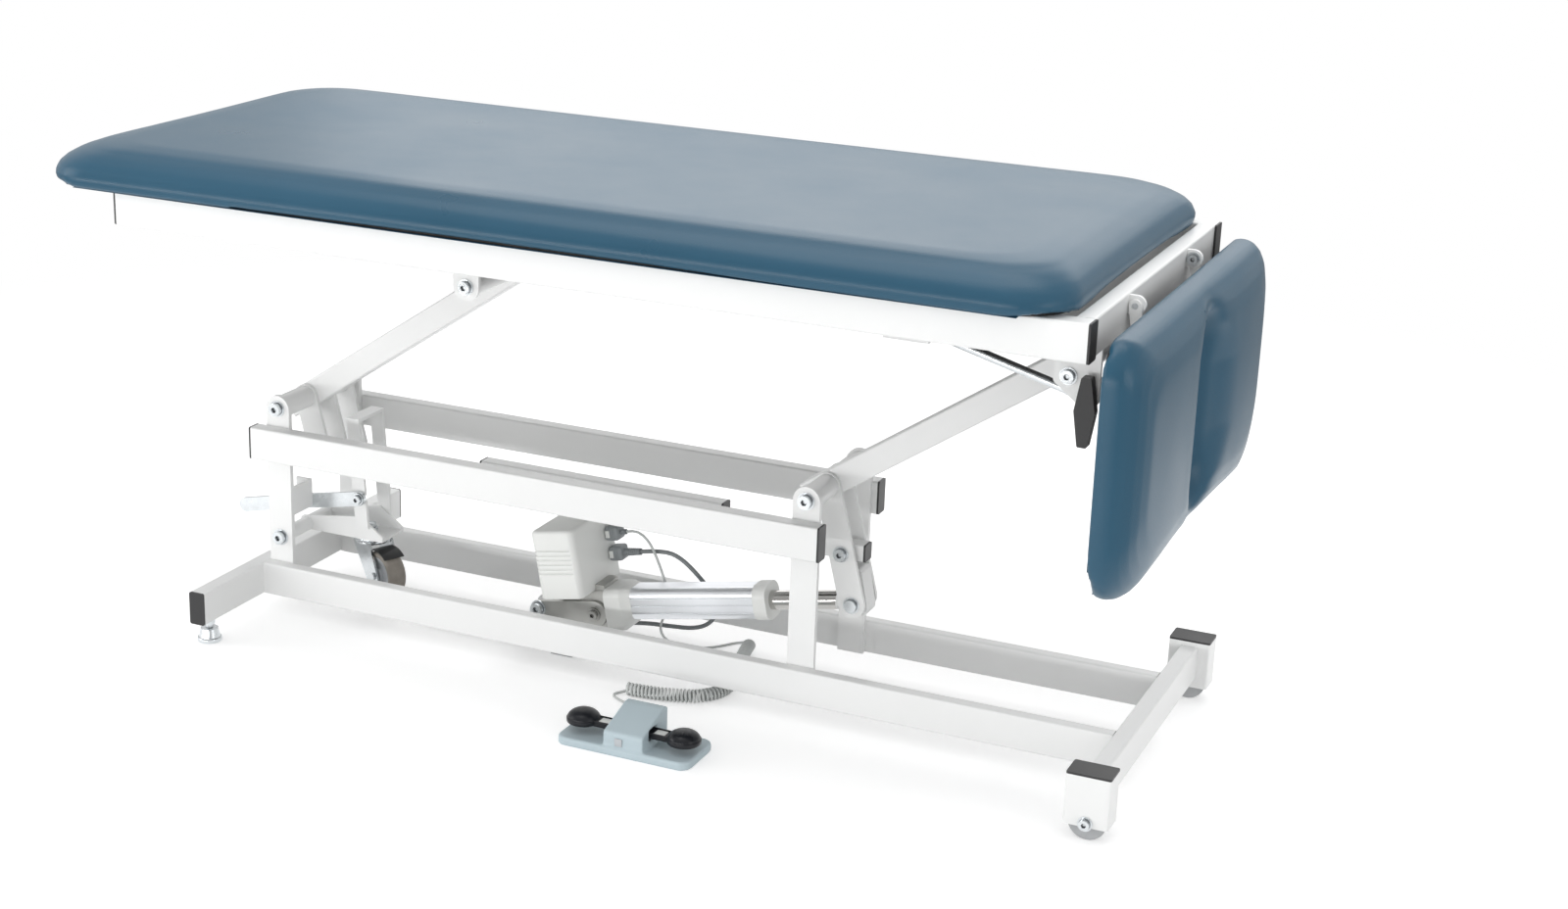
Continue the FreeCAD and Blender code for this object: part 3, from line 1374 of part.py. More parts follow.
def rounded_edges(points):
    """Straight runs joined by tangent arcs as large as the runs allow; prints the radii."""
    edges = []
    last = points[0]
    radii = []
    for index in range(1, len(points) - 1):
        corner = points[index]
        back, ahead = points[index - 1] - corner, points[index + 1] - corner
        reach = run_share * min(back.Length, ahead.Length)
        back.normalize()
        ahead.normalize()
        half_turn = (math.pi - back.getAngle(ahead)) / 2
        radius = reach / math.tan(half_turn)
        radii.append(radius)
        inward = (back + ahead).normalize()
        centre = corner + inward * (radius / math.cos(half_turn))
        start, end = corner + back * reach, corner + ahead * reach
        edges.append(Part.makeLine(last, start))
        edges.append(Part.Arc(start, centre - inward * radius, end).toShape())
        last = end
    edges.append(Part.makeLine(last, points[-1]))
    print("bend radii", [round(value, 1) for value in radii])
    return edges


def sweep(edges, radius, name):
    """A round cord along its edges; its volume is compared with section times length."""
    path = Part.Wire(edges)
    start = path.Edges[0]
    ring = Part.Wire([Part.makeCircle(radius, start.valueAt(start.FirstParameter),
                                      start.tangentAt(start.FirstParameter))])
    solid = path.makePipeShell([ring], True, False)
    expected = math.pi * radius ** 2 * path.Length
    print(name, "length", round(path.Length, 1), "volume share", round(solid.Volume / expected, 4))
    return solid


def biarc(start, start_way, end, end_way):
    """Two tangent arcs that leave start along start_way and reach end along end_way."""
    chord = end - start
    ways = start_way + end_way
    spread = 2 * (1 - start_way.dot(end_way))
    along = chord.dot(ways)
    if spread < touching:
        reach = chord.dot(chord) / (2 * along)
    else:
        reach = (math.sqrt(along ** 2 + spread * chord.dot(chord)) - along) / spread
    joint = (start + end + (start_way - end_way) * reach) * 0.5
    ahead = (joint - start).normalize()
    back = (joint - end).normalize()
    return [tangent_arc(start, arc_middle(start, start_way, ahead, joint), joint),
            tangent_arc(joint, arc_middle(end, end_way * -1, back, joint), end)]


def arc_middle(start, way, chord_way, end):
    """The middle of the arc that leaves start along way and passes through end."""
    half = way.getAngle(chord_way) / 2
    return start + (way + chord_way).normalize() * ((end - start).Length / (2 * math.cos(half)))


def tangent_arc(start, middle, end):
    if (middle - (start + end) * 0.5).Length < touching:
        return Part.makeLine(start, end)
    return Part.Arc(start, middle, end).toShape()


def chain(points, ways):
    """Biarcs through points with their directions of travel."""
    edges = []
    for index in range(len(points) - 1):
        edges += biarc(points[index], ways[index], points[index + 1], ways[index + 1])
    return edges


def least_gap(edges, radius, name):
    """Prints the least gap between parts of a wound tube that are more than a turn's start apart."""
    points = []
    for edge in edges:
        count = max(2, int(edge.Length / radius))
        first, last = edge.FirstParameter, edge.LastParameter
        points += [edge.valueAt(first + (last - first) * k / count) for k in range(count)]
    least = min((points[i] - points[j]).Length
                for i in range(len(points)) for j in range(i + gap_skip, min(len(points), i + gap_window)))
    print(name, "least gap", round(least - 2 * radius, 2))


def coil_edges():
    """The mains coil: an oblong spiral inwards on the floor, a climb, and a spiral outwards on top."""
    ahead, aside = -X, -Y
    low = mains_radius
    centre = place(coil_centre[0], coil_centre[1], low)
    rise = Z * (2 * mains_radius + coil_layer_gap)
    position = centre - ahead * (coil_run / 2) - aside * coil_outer_radius
    inward = [coil_outer_radius - k * coil_pitch / 2 for k in range(coil_half_turns)]
    turn_radii = inward + inward[:0:-1]
    edges = []
    way = 1
    for index, radius in enumerate(turn_radii):
        climb = rise if index == coil_half_turns else V(0, 0, 0)
        end = position + ahead * (way * coil_run) + climb
        if index == coil_half_turns:
            edges += biarc(position, ahead * way, end, ahead * way)
        else:
            edges.append(Part.makeLine(position, end))
        far = end + aside * (way * 2 * radius)
        edges.append(Part.Arc(end, end + aside * (way * radius) + ahead * (way * radius), far).toShape())
        position = far
        way = -way
    tail_end = position + ahead * (way * (coil_run + coil_tail))
    edges.append(Part.makeLine(position, tail_end))
    return edges, tail_end, ahead * way


def mains_plug():
    """The moulded plug at the end of the coil, with its two blades and its round earth pin."""
    tail_end, way = coil_edges()[1:]
    neck_end = tail_end + way * plug_neck_length
    body_end = neck_end + way * plug_length
    body = Part.makeCone(mains_radius + relief_rib / 2, plug_height / 3, plug_neck_length, tail_end, way)
    body = body.fuse(bar(neck_end, body_end, plug_width, plug_height, plug_height / 4))
    reach, breadth, thickness = blade
    for side in (-1, 1):
        root = body_end + Y * (side * blade_spread)
        body = body.fuse(bar(root, root + way * reach, thickness, breadth, 0))
    root = body_end - Z * blade_spread
    return body.fuse(cylinder(root, root + way * reach, earth_pin_radius)).removeSplitter()


def curl_axis():
    """The curl's centre line, with a function that gives its point and direction at a distance."""
    height = curl_radius + control_radius + curl_lift
    edges = rounded_edges([point + Z * height for point in curl_route])
    lengths = [edge.Length for edge in edges]

    def at(distance):
        for edge, length in zip(edges, lengths):
            if distance <= length or edge is edges[-1]:
                break
            distance -= length
        share = distance / length
        value = edge.FirstParameter + (edge.LastParameter - edge.FirstParameter) * share
        return edge.valueAt(value), edge.tangentAt(value)
    return at, sum(lengths)


def curl_point(at, distance):
    centre, along = at(distance)
    aside = Z.cross(along)
    turn = 2 * math.pi * distance / curl_pitch - math.pi / 2
    return centre + aside * (curl_radius * math.cos(turn)) + Z * (curl_radius * math.sin(turn))


def curl_start(at):
    """Where the curled stretch meets the straight one, and the way the cord runs there."""
    centre, along = at(0)
    start = centre - along * curl_lead_in
    return place(start.x, start.y, control_radius + curl_lift), along


def curled_cord():
    """The foot control's cord: its curls, the loop after them and the lead into the hump."""
    at, length = curl_axis()
    quarters = int(length / curl_pitch) * 4
    start, way = curl_start(at)
    points, ways = [start, start + way * (2 * control_radius)], [way, way]
    for index in range(quarters + 1):
        distance = index * curl_pitch / 4
        step = curl_pitch * look_share
        ahead = curl_point(at, distance + step)
        behind = curl_point(at, max(distance - step, 0))
        points.append(curl_point(at, distance))
        ways.append((ahead - behind).normalize())
    last = place(lead_end_x, hump_y[1], lead_end_height)
    lead = lead_route + [last + Y * (6 * control_radius), last]
    points.append(lead[0])
    ways.append((lead[1] - lead[0]).normalize())
    helix = chain(points, ways)
    least_gap(helix, control_radius, "curled cord")
    return sweep(helix + rounded_edges(lead), control_radius, "curled cord")


def mains_cord():
    start = cord_exit(mains_connector, mains_relief_length, mains_connector_gap)
    end = coil_edges()[0][0].valueAt(0)
    return sweep(rounded_edges([start] + mains_route + [end]), mains_radius, "mains cord")


def mains_coil():
    edges = coil_edges()[0]
    least_gap(edges, mains_radius, "mains coil")
    return sweep(edges, mains_radius, "mains coil")


def control_cord():
    start = cord_exit(control_connector, control_relief_length, control_connector_gap)
    end, way = curl_start(curl_axis()[0])
    route = [start] + control_route + [end - way * (8 * control_radius), end]
    return sweep(rounded_edges(route), control_radius, "control cord")


def main():
    for side, word in ((FRONT, "front"), (REAR, "rear")):
        export("base_rail_" + word, base_rail(side))
        export("roller_stub_" + word, roller_stub(side))
        export("foot_post_" + word, post(side, foot_pivot_x, (pivot_height, caster_pivot_height)))
        export("head_post_" + word, post(side, head_pivot_x, (pivot_height,)))
        export("upper_rail_" + word, upper_rail(side))
        export("roller_" + word, roller(side))
        export("top_rail_" + word, top_rail(side))
    export("foot_cross_tube", foot_cross_tube())
    export("head_cross_tube", head_cross_tube())
    export("base_caps", *base_caps())
    export("base_bolts", *base_bolts())
    export("levelling_feet", levelling_foot(FRONT), levelling_foot(REAR))
    export("actuator_mount", actuator_mount())
    export("lever_bracket", lever_bracket())
    inner_plates = (-lever_inner_y - lever_thickness, lever_inner_y)
    export("foot_arm", lift_arm(foot_pivot_x))
    export("head_arm", lift_arm(head_pivot_x))
    export("foot_levers", *lever_plates(foot_pivot_x, tie_radius, inner_plates + (outer_lever_y,), 0, 0))
    export("head_levers", *lever_plates(head_pivot_x, actuator_radius, inner_plates,
                                        actuator_pin_radius, fixed_fit))
    export("actuator_pin", actuator_pin())
    export("tie_bar", tie_bar())
    export("tie_caps", *tie_caps())
    export("tie_bolts", *tie_bolts())
    export("motor_box", motor_box())
    export("gear_housing", gear_housing())
    export("actuator_sleeve", actuator_sleeve())
    export("sleeve_collars", *sleeve_collars())
    export("piston_rod", piston_rod())
    export("cross_members", *cross_members())
    export("top_caps", *top_caps())
    export("arm_brackets", *arm_brackets())
    export("top_bolts", *top_bolts())
    export("deck_board", deck_board())
    export("main_cushion", main_cushion())
    export("hinge_tabs", *hinge_tabs())
    export("nose_board", nose_board())
    export("nose_cushion", nose_cushion())
    export("nose_hinges", *nose_hinges())
    export("lock_body", lock_body())
    export("release_rod", release_rod())
    export("release_handle", release_handle())
    export("caster_arm", caster_arm())
    export("caster_lever", caster_lever())
    export("caster_fork", caster_fork())
    export("caster_wheel", caster_wheel())
    export("pedal_housing", pedal_housing())
    export("treadle_left", treadle(-1))
    export("treadle_right", treadle(1))
    export("cord_connectors", connector(mains_connector, mains_radius, mains_relief_length),
           connector(control_connector, control_radius, control_relief_length))
    export("mains_cord", mains_cord())
    export("mains_coil", mains_coil())
    export("mains_plug", mains_plug())
    export("control_cord", control_cord())
    export("control_curl", curled_cord())


main()
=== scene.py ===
# %% [markdown]
# # A hi-lo treatment table
# The imported model already holds every tube, bolt and hinge at its real size. This lesson
# dresses it: each step makes one finish or one soft or fine piece, and hangs it on the body
# of the frame that carries it, so that the dressed table still moves as the real one does.
# We start by loading the frame.

# %% Load the frame
import math

import bmesh
import bpy
import numpy as np
from mathutils import Matrix, Vector


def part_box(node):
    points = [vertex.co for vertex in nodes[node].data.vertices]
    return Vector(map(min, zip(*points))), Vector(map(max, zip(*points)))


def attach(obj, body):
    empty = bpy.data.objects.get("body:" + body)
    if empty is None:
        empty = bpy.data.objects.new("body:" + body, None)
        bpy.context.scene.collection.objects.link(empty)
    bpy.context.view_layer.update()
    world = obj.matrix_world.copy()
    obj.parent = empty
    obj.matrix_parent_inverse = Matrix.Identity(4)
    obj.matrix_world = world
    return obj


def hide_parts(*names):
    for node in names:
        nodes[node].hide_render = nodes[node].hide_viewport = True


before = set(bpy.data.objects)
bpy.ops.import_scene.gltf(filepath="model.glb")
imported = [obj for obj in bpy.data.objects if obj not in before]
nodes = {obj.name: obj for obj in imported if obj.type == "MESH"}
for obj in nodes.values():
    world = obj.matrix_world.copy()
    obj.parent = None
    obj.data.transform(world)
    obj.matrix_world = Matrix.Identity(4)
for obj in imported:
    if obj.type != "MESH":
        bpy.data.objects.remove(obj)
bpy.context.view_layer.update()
scene = bpy.context.scene


def node_box(name):
    """The low and the high corner of a node's box."""
    return [Vector(corner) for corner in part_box(name)]


def placed(name, data):
    """A new object, linked into the scene."""
    thing = bpy.data.objects.new(name, data)
    scene.collection.objects.link(thing)
    return thing


def clamped(value, low=0.0, high=1.0):
    """The value, held between low and high."""
    return min(high, max(low, value))


# %% [markdown]
# ## Camera
# The photograph looks at the table from the front and a little from the foot end, from
# standing height. A lens of 56 mm on a full frame gives the same perspective, and a slight
# roll and shift put the table where it stands in the picture.

# %% Camera
camera = placed("studio_camera", bpy.data.cameras.new("studio_camera"))
camera.data.lens = 56.2
camera.data.sensor_width = 36.0
camera.data.shift_x, camera.data.shift_y = 0.0193, -0.0034
camera.data.clip_end = 40.0
camera.matrix_world = (Matrix.Translation((1.4727, -3.0171, 1.4212))
                       @ Matrix.Rotation(math.radians(23.46), 4, "Z")
                       @ Matrix.Rotation(math.radians(90.0 - 18.0), 4, "X")
                       @ Matrix.Rotation(math.radians(1.87), 4, "Z"))
scene.camera = camera
scene.view_settings.view_transform = "Standard"
print("camera", [round(value, 3) for value in camera.matrix_world.translation])

# %% [markdown]
# ## Studio light
# The picture was taken in a white studio: the top of the cushion mirrors a bright wall
# behind it, and its rounded front edge carries one long soft streak. A white world, a
# little darker behind the camera, gives the even base. One soft panel stands at the back,
# one hangs overhead, one stands at each end, and a long flat one in front makes the
# streak. Their sum lights a white sheet to about white, not more.

# %% Studio light
def soft_panel(name, place, look_at, width, height, watts):
    """A rectangular soft light at a place, turned to look at a point."""
    panel = placed(name, bpy.data.lights.new(name, "AREA"))
    panel.data.shape = "RECTANGLE"
    panel.data.size, panel.data.size_y = width, height
    panel.data.energy = watts
    aim = Vector(look_at) - Vector(place)
    panel.rotation_euler = aim.to_track_quat("-Z", "Y").to_euler()
    panel.location = place


soft_panel("overhead_panel", (-0.2, 0.2, 3.6), (0, 0, 0), 3.4, 2.4, 50)
soft_panel("back_panel", (-0.6, 3.4, 2.2), (0, 0, 0.6), 4.2, 1.6, 26)
soft_panel("front_strip", (-1.4, -3.5, 0.17), (-0.6, 0, 0.55), 5.4, 0.26, 54)
soft_panel("foot_panel", (-3.6, -1.6, 1.5), (0, 0, 0.5), 1.8, 1.8, 22)
soft_panel("head_panel", (3.9, -1.5, 1.1), (0, 0, 0.5), 1.8, 1.8, 20)

world = bpy.data.worlds.new("white_studio")
scene.world = world
world.use_nodes = True
sky_tree = world.node_tree
sky = sky_tree.nodes["Background"]
sky.inputs["Color"].default_value = (1, 1, 1, 1)


def feed(tree, value, entry):
    """Sets a socket to a number, or links a node output to it."""
    if isinstance(value, float):
        entry.default_value = value
    else:
        tree.links.new(value, entry)


def combined(tree, operation, first, second):
    """One sum on two values, each a number or a node output."""
    maths = tree.nodes.new("ShaderNodeMath")
    maths.operation = operation
    for entry, value in zip(maths.inputs, (first, second)):
        feed(tree, value, entry)
    return maths.outputs[0]


def seen_directly(tree):
    """1 on camera, mirror and glass rays, 0 on the rays that carry light."""
    rays = tree.nodes.new("ShaderNodeLightPath").outputs
    mirrored = combined(tree, "MAXIMUM", rays["Is Camera Ray"], rays["Is Glossy Ray"])
    return combined(tree, "MAXIMUM", mirrored, rays["Is Transmission Ray"])


def eased(tree, value, start, end, low, high):
    """A smooth change from low to high as value goes from start to end."""
    ramp = tree.nodes.new("ShaderNodeMapRange")
    ramp.interpolation_type = "SMOOTHSTEP"
    ramp.inputs["From Min"].default_value, ramp.inputs["From Max"].default_value = start, end
    ramp.inputs["To Min"].default_value, ramp.inputs["To Max"].default_value = low, high
    tree.links.new(value, ramp.inputs["Value"])
    return ramp.outputs["Result"]


def either(tree, factor, off, on):
    """off where factor is 0, on where it is 1; each a number or a node output."""
    mix = tree.nodes.new("ShaderNodeMix")
    tree.links.new(factor, mix.inputs["Factor"])
    feed(tree, off, mix.inputs["A"])
    feed(tree, on, mix.inputs["B"])
    return mix.outputs["Result"]


direction = sky_tree.nodes.new("ShaderNodeSeparateXYZ")
sky_tree.links.new(sky_tree.nodes.new("ShaderNodeTexCoord").outputs["Generated"], direction.inputs[0])
in_front = eased(sky_tree, direction.outputs["Y"], 0.1, -0.6, 0.0, 1.0)
down_low = eased(sky_tree, direction.outputs["Z"], 0.75, 0.25, 0.0, 1.0)
dark_room = combined(sky_tree, "MULTIPLY", in_front, down_low)
mirrored_room = either(sky_tree, dark_room, 0.74, 0.36)
sky_rays = sky_tree.nodes.new("ShaderNodeLightPath")
mirrored_or_seen = either(sky_tree, sky_rays.outputs["Is Camera Ray"], mirrored_room, 1.0)
sky_strength = either(sky_tree, seen_directly(sky_tree), 0.76, mirrored_or_seen)
sky_tree.links.new(sky_strength, sky.inputs["Strength"])

# %% [markdown]
# ## Floor
# A seamless paper sweep: flat under the table, so every foot and cord casts its soft
# shadow. The paper is pale, and a little glow that only the camera sees lifts it to the
# picture's white without putting more light on the table. Away from the table the paper
# melts into the white background, so no horizon shows.

# %% Floor
floor_shape = bmesh.new()
bmesh.ops.create_grid(floor_shape, x_segments=1, y_segments=1, size=9.0)
floor_mesh = bpy.data.meshes.new("studio_floor")
floor_shape.to_mesh(floor_mesh)
floor_shape.free()
floor = placed("studio_floor", floor_mesh)
paper = bpy.data.materials.new("white_paper")
paper.use_nodes = True
paper_tree = paper.node_tree
paper_shader = paper_tree.nodes["Principled BSDF"]
paper_shader.inputs["Base Color"].default_value = (0.82, 0.82, 0.82, 1)
paper_shader.inputs["Roughness"].default_value = 0.95
paper_seen = seen_directly(paper_tree)
glow = combined(paper_tree, "MULTIPLY", paper_seen, 0.42)
paper_tree.links.new(glow, paper_shader.inputs["Emission Strength"])
paper_shader.inputs["Emission Color"].default_value = (1, 1, 1, 1)

away = paper_tree.nodes.new("ShaderNodeVectorMath")
away.operation = "LENGTH"
paper_tree.links.new(paper_tree.nodes.new("ShaderNodeTexCoord").outputs["Object"], away.inputs[0])
fade = eased(paper_tree, away.outputs["Value"], 1.0, 2.6, 0.0, 1.0)
white = paper_tree.nodes.new("ShaderNodeEmission")
paper_rays = paper_tree.nodes.new("ShaderNodeLightPath")
white_strength = either(paper_tree, paper_rays.outputs["Is Camera Ray"], 0.4, 1.0)
paper_tree.links.new(white_strength, white.inputs["Strength"])
sweep = paper_tree.nodes.new("ShaderNodeMixShader")
paper_tree.links.new(combined(paper_tree, "MULTIPLY", fade, paper_seen), sweep.inputs["Fac"])
paper_tree.links.new(paper_shader.outputs["BSDF"], sweep.inputs[1])
paper_tree.links.new(white.outputs["Emission"], sweep.inputs[2])
paper_tree.links.new(sweep.outputs["Shader"], paper_tree.nodes["Material Output"].inputs["Surface"])
floor_mesh.materials.append(paper)
print("floor", floor.name)

# %% [markdown]
# ## Finishes
# A finish is more than a colour: paint has a faint orange peel, vinyl a pressed grain,
# zinc a cloudy bloom. All of them here start from one helper that lays a colour, lets it
# drift slightly over the piece, and adds a fine bump. The patterns read Object coordinates,
# so their scale is in real metres on every piece.

# %% Finish helper
def new_finish(name, colour, roughness, metal=0.0, drift=0.04, drift_scale=9.0,
               grain_scale=700.0, grain_depth=0.00004, rough_drift=0.06, coat=0.0):
    """A surface with a drifting colour, a drifting gloss and a fine grain."""
    finish = bpy.data.materials.new(name)
    finish.use_nodes = True
    tree = finish.node_tree
    shader = tree.nodes["Principled BSDF"]
    shader.inputs["Metallic"].default_value = metal
    shader.inputs["Coat Weight"].default_value = coat
    shader.inputs["Coat Roughness"].default_value = 0.12
    where = tree.nodes.new("ShaderNodeTexCoord").outputs["Object"]

    cloud = tree.nodes.new("ShaderNodeTexNoise")
    cloud.inputs["Scale"].default_value = drift_scale
    cloud.inputs["Detail"].default_value = 4.0
    tree.links.new(where, cloud.inputs["Vector"])
    tone = tree.nodes.new("ShaderNodeValToRGB")
    for stop, position, share in zip(tone.color_ramp.elements, (0.3, 0.7), (1 - drift, 1 + drift)):
        stop.position = position
        stop.color = (*[min(1.0, part * share) for part in colour], 1)
    tree.links.new(cloud.outputs["Fac"], tone.inputs["Fac"])
    tree.links.new(tone.outputs["Color"], shader.inputs["Base Color"])

    gloss = tree.nodes.new("ShaderNodeMapRange")
    for entry, value in (("From Min", 0.3), ("From Max", 0.7), ("To Min", roughness - rough_drift),
                         ("To Max", roughness + rough_drift)):
        gloss.inputs[entry].default_value = value
    tree.links.new(cloud.outputs["Fac"], gloss.inputs["Value"])
    tree.links.new(gloss.outputs["Result"], shader.inputs["Roughness"])

    grain = tree.nodes.new("ShaderNodeTexNoise")
    grain.inputs["Scale"].default_value = grain_scale
    grain.inputs["Detail"].default_value = 2.0
    tree.links.new(where, grain.inputs["Vector"])
    bump = tree.nodes.new("ShaderNodeBump")
    bump.inputs["Distance"].default_value = grain_depth
    bump.inputs["Strength"].default_value = 1.0
    tree.links.new(grain.outputs["Fac"], bump.inputs["Height"])
    tree.links.new(bump.outputs["Normal"], shader.inputs["Normal"])
    return finish


def own_place(finish):
    """A finish's Object coordinates: metres on the piece itself."""
    return next(node for node in finish.node_tree.nodes if node.type == "TEX_COORD").outputs["Object"]


def add_relief(finish, texture, output, depth, over=None):
    """A coarser pattern pressed in under a bump, the fine grain's if none is given."""
    tree = finish.node_tree
    if over is None:
        over = next(node for node in tree.nodes if node.type == "BUMP")
    tree.links.new(own_place(finish), texture.inputs["Vector"])
    relief = tree.nodes.new("ShaderNodeBump")
    relief.inputs["Distance"].default_value = depth
    tree.links.new(texture.outputs[output], relief.inputs["Height"])
    tree.links.new(relief.outputs["Normal"], over.inputs["Normal"])
    return relief


def paint_shade_in_hollows(finish, reach, dark):
    """Painted shade: ambient occlusion darkens the colour in grooves and sockets narrower than reach."""
    tree = finish.node_tree
    shader = tree.nodes["Principled BSDF"]
    colour = shader.inputs["Base Color"].links[0].from_socket
    hollow = tree.nodes.new("ShaderNodeAmbientOcclusion")
    hollow.samples = 6
    hollow.only_local = True
    hollow.inputs["Distance"].default_value = reach
    shade = eased(tree, hollow.outputs["AO"], 0.35, 0.85, dark, 1.0)
    times = tree.nodes.new("ShaderNodeVectorMath")
    times.operation = "SCALE"
    tree.links.new(colour, times.inputs[0])
    tree.links.new(shade, times.inputs["Scale"])
    tree.links.new(times.outputs["Vector"], shader.inputs["Base Color"])


# %% [markdown]
# ### White powder coat
# The frame is steel tube with baked white powder. It is smooth and slightly warm of light,
# with an orange peel of about a millimetre that only shows where a lamp grazes it.

# %% White powder coat
white_powder = new_finish("white_powder", (0.83, 0.835, 0.83), 0.36, drift=0.012, drift_scale=4.0,
                          grain_scale=420.0, grain_depth=0.00005, coat=0.12)
print("finish", white_powder.name)

# %% [markdown]
# ### Blue vinyl
# Upholstery vinyl is a soft plastic skin with a pressed leather grain: small rounded
# pebbles with creases between them. Voronoi cells make the pebbles, and a large soft noise
# gives the slack of a skin over foam. Its gloss is satin, so highlights are wide.

# %% Blue vinyl
blue_vinyl = new_finish("blue_vinyl", (0.024, 0.086, 0.142), 0.30, drift=0.05, drift_scale=5.0,
                        grain_scale=1500.0, grain_depth=0.00003, rough_drift=0.03)
vinyl_nodes = blue_vinyl.node_tree.nodes
pebbles = vinyl_nodes.new("ShaderNodeTexVoronoi")
pebbles.feature = "SMOOTH_F1"
pebbles.inputs["Scale"].default_value = 620.0
pebbles.inputs["Smoothness"].default_value = 0.6
pebble_bump = add_relief(blue_vinyl, pebbles, "Distance", 0.00010)
slack = vinyl_nodes.new("ShaderNodeTexNoise")
slack.inputs["Scale"].default_value = 7.0
slack.inputs["Detail"].default_value = 1.0
add_relief(blue_vinyl, slack, "Fac", 0.0006, over=pebble_bump)
vinyl_nodes["Principled BSDF"].inputs["Specular IOR Level"].default_value = 0.3
print("finish", blue_vinyl.name)

# %% [markdown]
# ### Plastics, metals and rubber
# The rest are the table's small parts. Caps and handle are fine-textured black plastic,
# the bolts bright zinc, the actuator's sleeve drawn aluminium, its rod ground and plated,
# its housing die-cast, and the box, the control and the cords are moulded greys.

# %% Plastics, metals and rubber
black_plastic = new_finish("black_plastic", (0.018, 0.018, 0.019), 0.42, drift=0.2, grain_scale=900.0,
                           grain_depth=0.00008)
dome_plastic = new_finish("dome_plastic", (0.010, 0.011, 0.014), 0.27, drift=0.15, grain_scale=600.0,
                          grain_depth=0.00003)
zinc = new_finish("bright_zinc", (0.70, 0.73, 0.75), 0.24, metal=1.0, drift=0.08, drift_scale=70.0,
                  grain_scale=900.0, grain_depth=0.000008, rough_drift=0.05)
plated_rod = new_finish("plated_rod", (0.60, 0.59, 0.57), 0.14, metal=1.0, drift=0.03, grain_scale=500.0,
                        grain_depth=0.000004, rough_drift=0.03)
cast_alloy = new_finish("cast_alloy", (0.52, 0.52, 0.50), 0.44, metal=1.0, drift=0.07, drift_scale=30.0,
                        grain_scale=420.0, grain_depth=0.00006)
drawn_alloy = new_finish("drawn_alloy", (0.90, 0.92, 0.95), 0.36, metal=1.0, drift=0.02, grain_scale=500.0,
                         grain_depth=0.000006)
box_plastic = new_finish("box_plastic", (0.79, 0.80, 0.78), 0.45, drift=0.02, grain_scale=1100.0,
                         grain_depth=0.00007)
collar_plastic = new_finish("collar_plastic", (0.76, 0.77, 0.75), 0.38, drift=0.02, grain_scale=800.0,
                            grain_depth=0.00005)
control_plastic = new_finish("control_plastic", (0.45, 0.54, 0.58), 0.46, drift=0.03, grain_scale=1100.0,
                             grain_depth=0.00009)
plug_plastic = new_finish("plug_plastic", (0.27, 0.29, 0.30), 0.50, drift=0.05, grain_scale=900.0,
                          grain_depth=0.00006)
mains_sheath = new_finish("mains_sheath", (0.200, 0.215, 0.220), 0.52, drift=0.06, drift_scale=40.0,
                          grain_scale=600.0, grain_depth=0.00005)
curl_sheath = new_finish("curl_sheath", (0.58, 0.60, 0.59), 0.45, drift=0.06, drift_scale=40.0,
                         grain_scale=600.0, grain_depth=0.00004)
roller_rubber = new_finish("roller_rubber", (0.40, 0.41, 0.42), 0.50, drift=0.08, drift_scale=60.0,
                           grain_scale=400.0, grain_depth=0.00010)
tyre_rubber = new_finish("tyre_rubber", (0.27, 0.245, 0.215), 0.58, drift=0.12, drift_scale=80.0,
                         grain_scale=300.0, grain_depth=0.00015)
hub_plastic = new_finish("hub_plastic", (0.46, 0.48, 0.50), 0.42, drift=0.04, grain_scale=900.0,
                         grain_depth=0.00006)
sealed_ply = new_finish("sealed_ply", (0.030, 0.028, 0.027), 0.62, drift=0.25, drift_scale=25.0,
                        grain_scale=240.0, grain_depth=0.00020)
dome_plastic.node_tree.nodes["Principled BSDF"].inputs["Specular IOR Level"].default_value = 0.3
# Painted shade: ambient occlusion darkens the colour in the bolt sockets, the box's grooves and the recesses
# of the sleeve and the housing.
paint_shade_in_hollows(zinc, 0.0035, 0.10)
paint_shade_in_hollows(box_plastic, 0.004, 0.70)
paint_shade_in_hollows(drawn_alloy, 0.0025, 0.60)
paint_shade_in_hollows(cast_alloy, 0.005, 0.40)
print("finishes", len(bpy.data.materials))

# %% [markdown]
# ### Rod with its painted eye
# The piston rod is ground and plated, but the slotted eye on its end, between the crank
# plates, is painted with the frame. One material does both: past the eye's shoulder the
# colour, the metal and the gloss all change, by the piece's own X coordinate.

# %% Rod with its painted eye
rod_tree = plated_rod.node_tree
rod_shader = rod_tree.nodes["Principled BSDF"]
rod_place = rod_tree.nodes.new("ShaderNodeSeparateXYZ")
rod_tree.links.new(own_place(plated_rod), rod_place.inputs[0])
at_the_eye = eased(rod_tree, rod_place.outputs["X"], 0.3020, 0.3025, 0.0, 1.0)
rod_paint = rod_tree.nodes.new("ShaderNodeMix")
rod_paint.data_type = "RGBA"
rod_tree.links.new(at_the_eye, rod_paint.inputs["Factor"])
rod_tree.links.new(rod_shader.inputs["Base Color"].links[0].from_socket, rod_paint.inputs[6])
rod_paint.inputs[7].default_value = (0.80, 0.805, 0.80, 1)
rod_tree.links.new(rod_paint.outputs[2], rod_shader.inputs["Base Color"])
rod_tree.links.new(eased(rod_tree, at_the_eye, 0.0, 1.0, 1.0, 0.0), rod_shader.inputs["Metallic"])
rod_gloss = rod_shader.inputs["Roughness"].links[0].from_socket
rod_tree.links.new(either(rod_tree, at_the_eye, rod_gloss, 0.36), rod_shader.inputs["Roughness"])
print("finish", plated_rod.name)

# %% [markdown]
# ### Dressing the frame's own pieces
# Most of the frame's solids already have the right shape, so they stay and only take a
# finish. A table of names says which, and whatever is not named is white powder coat.

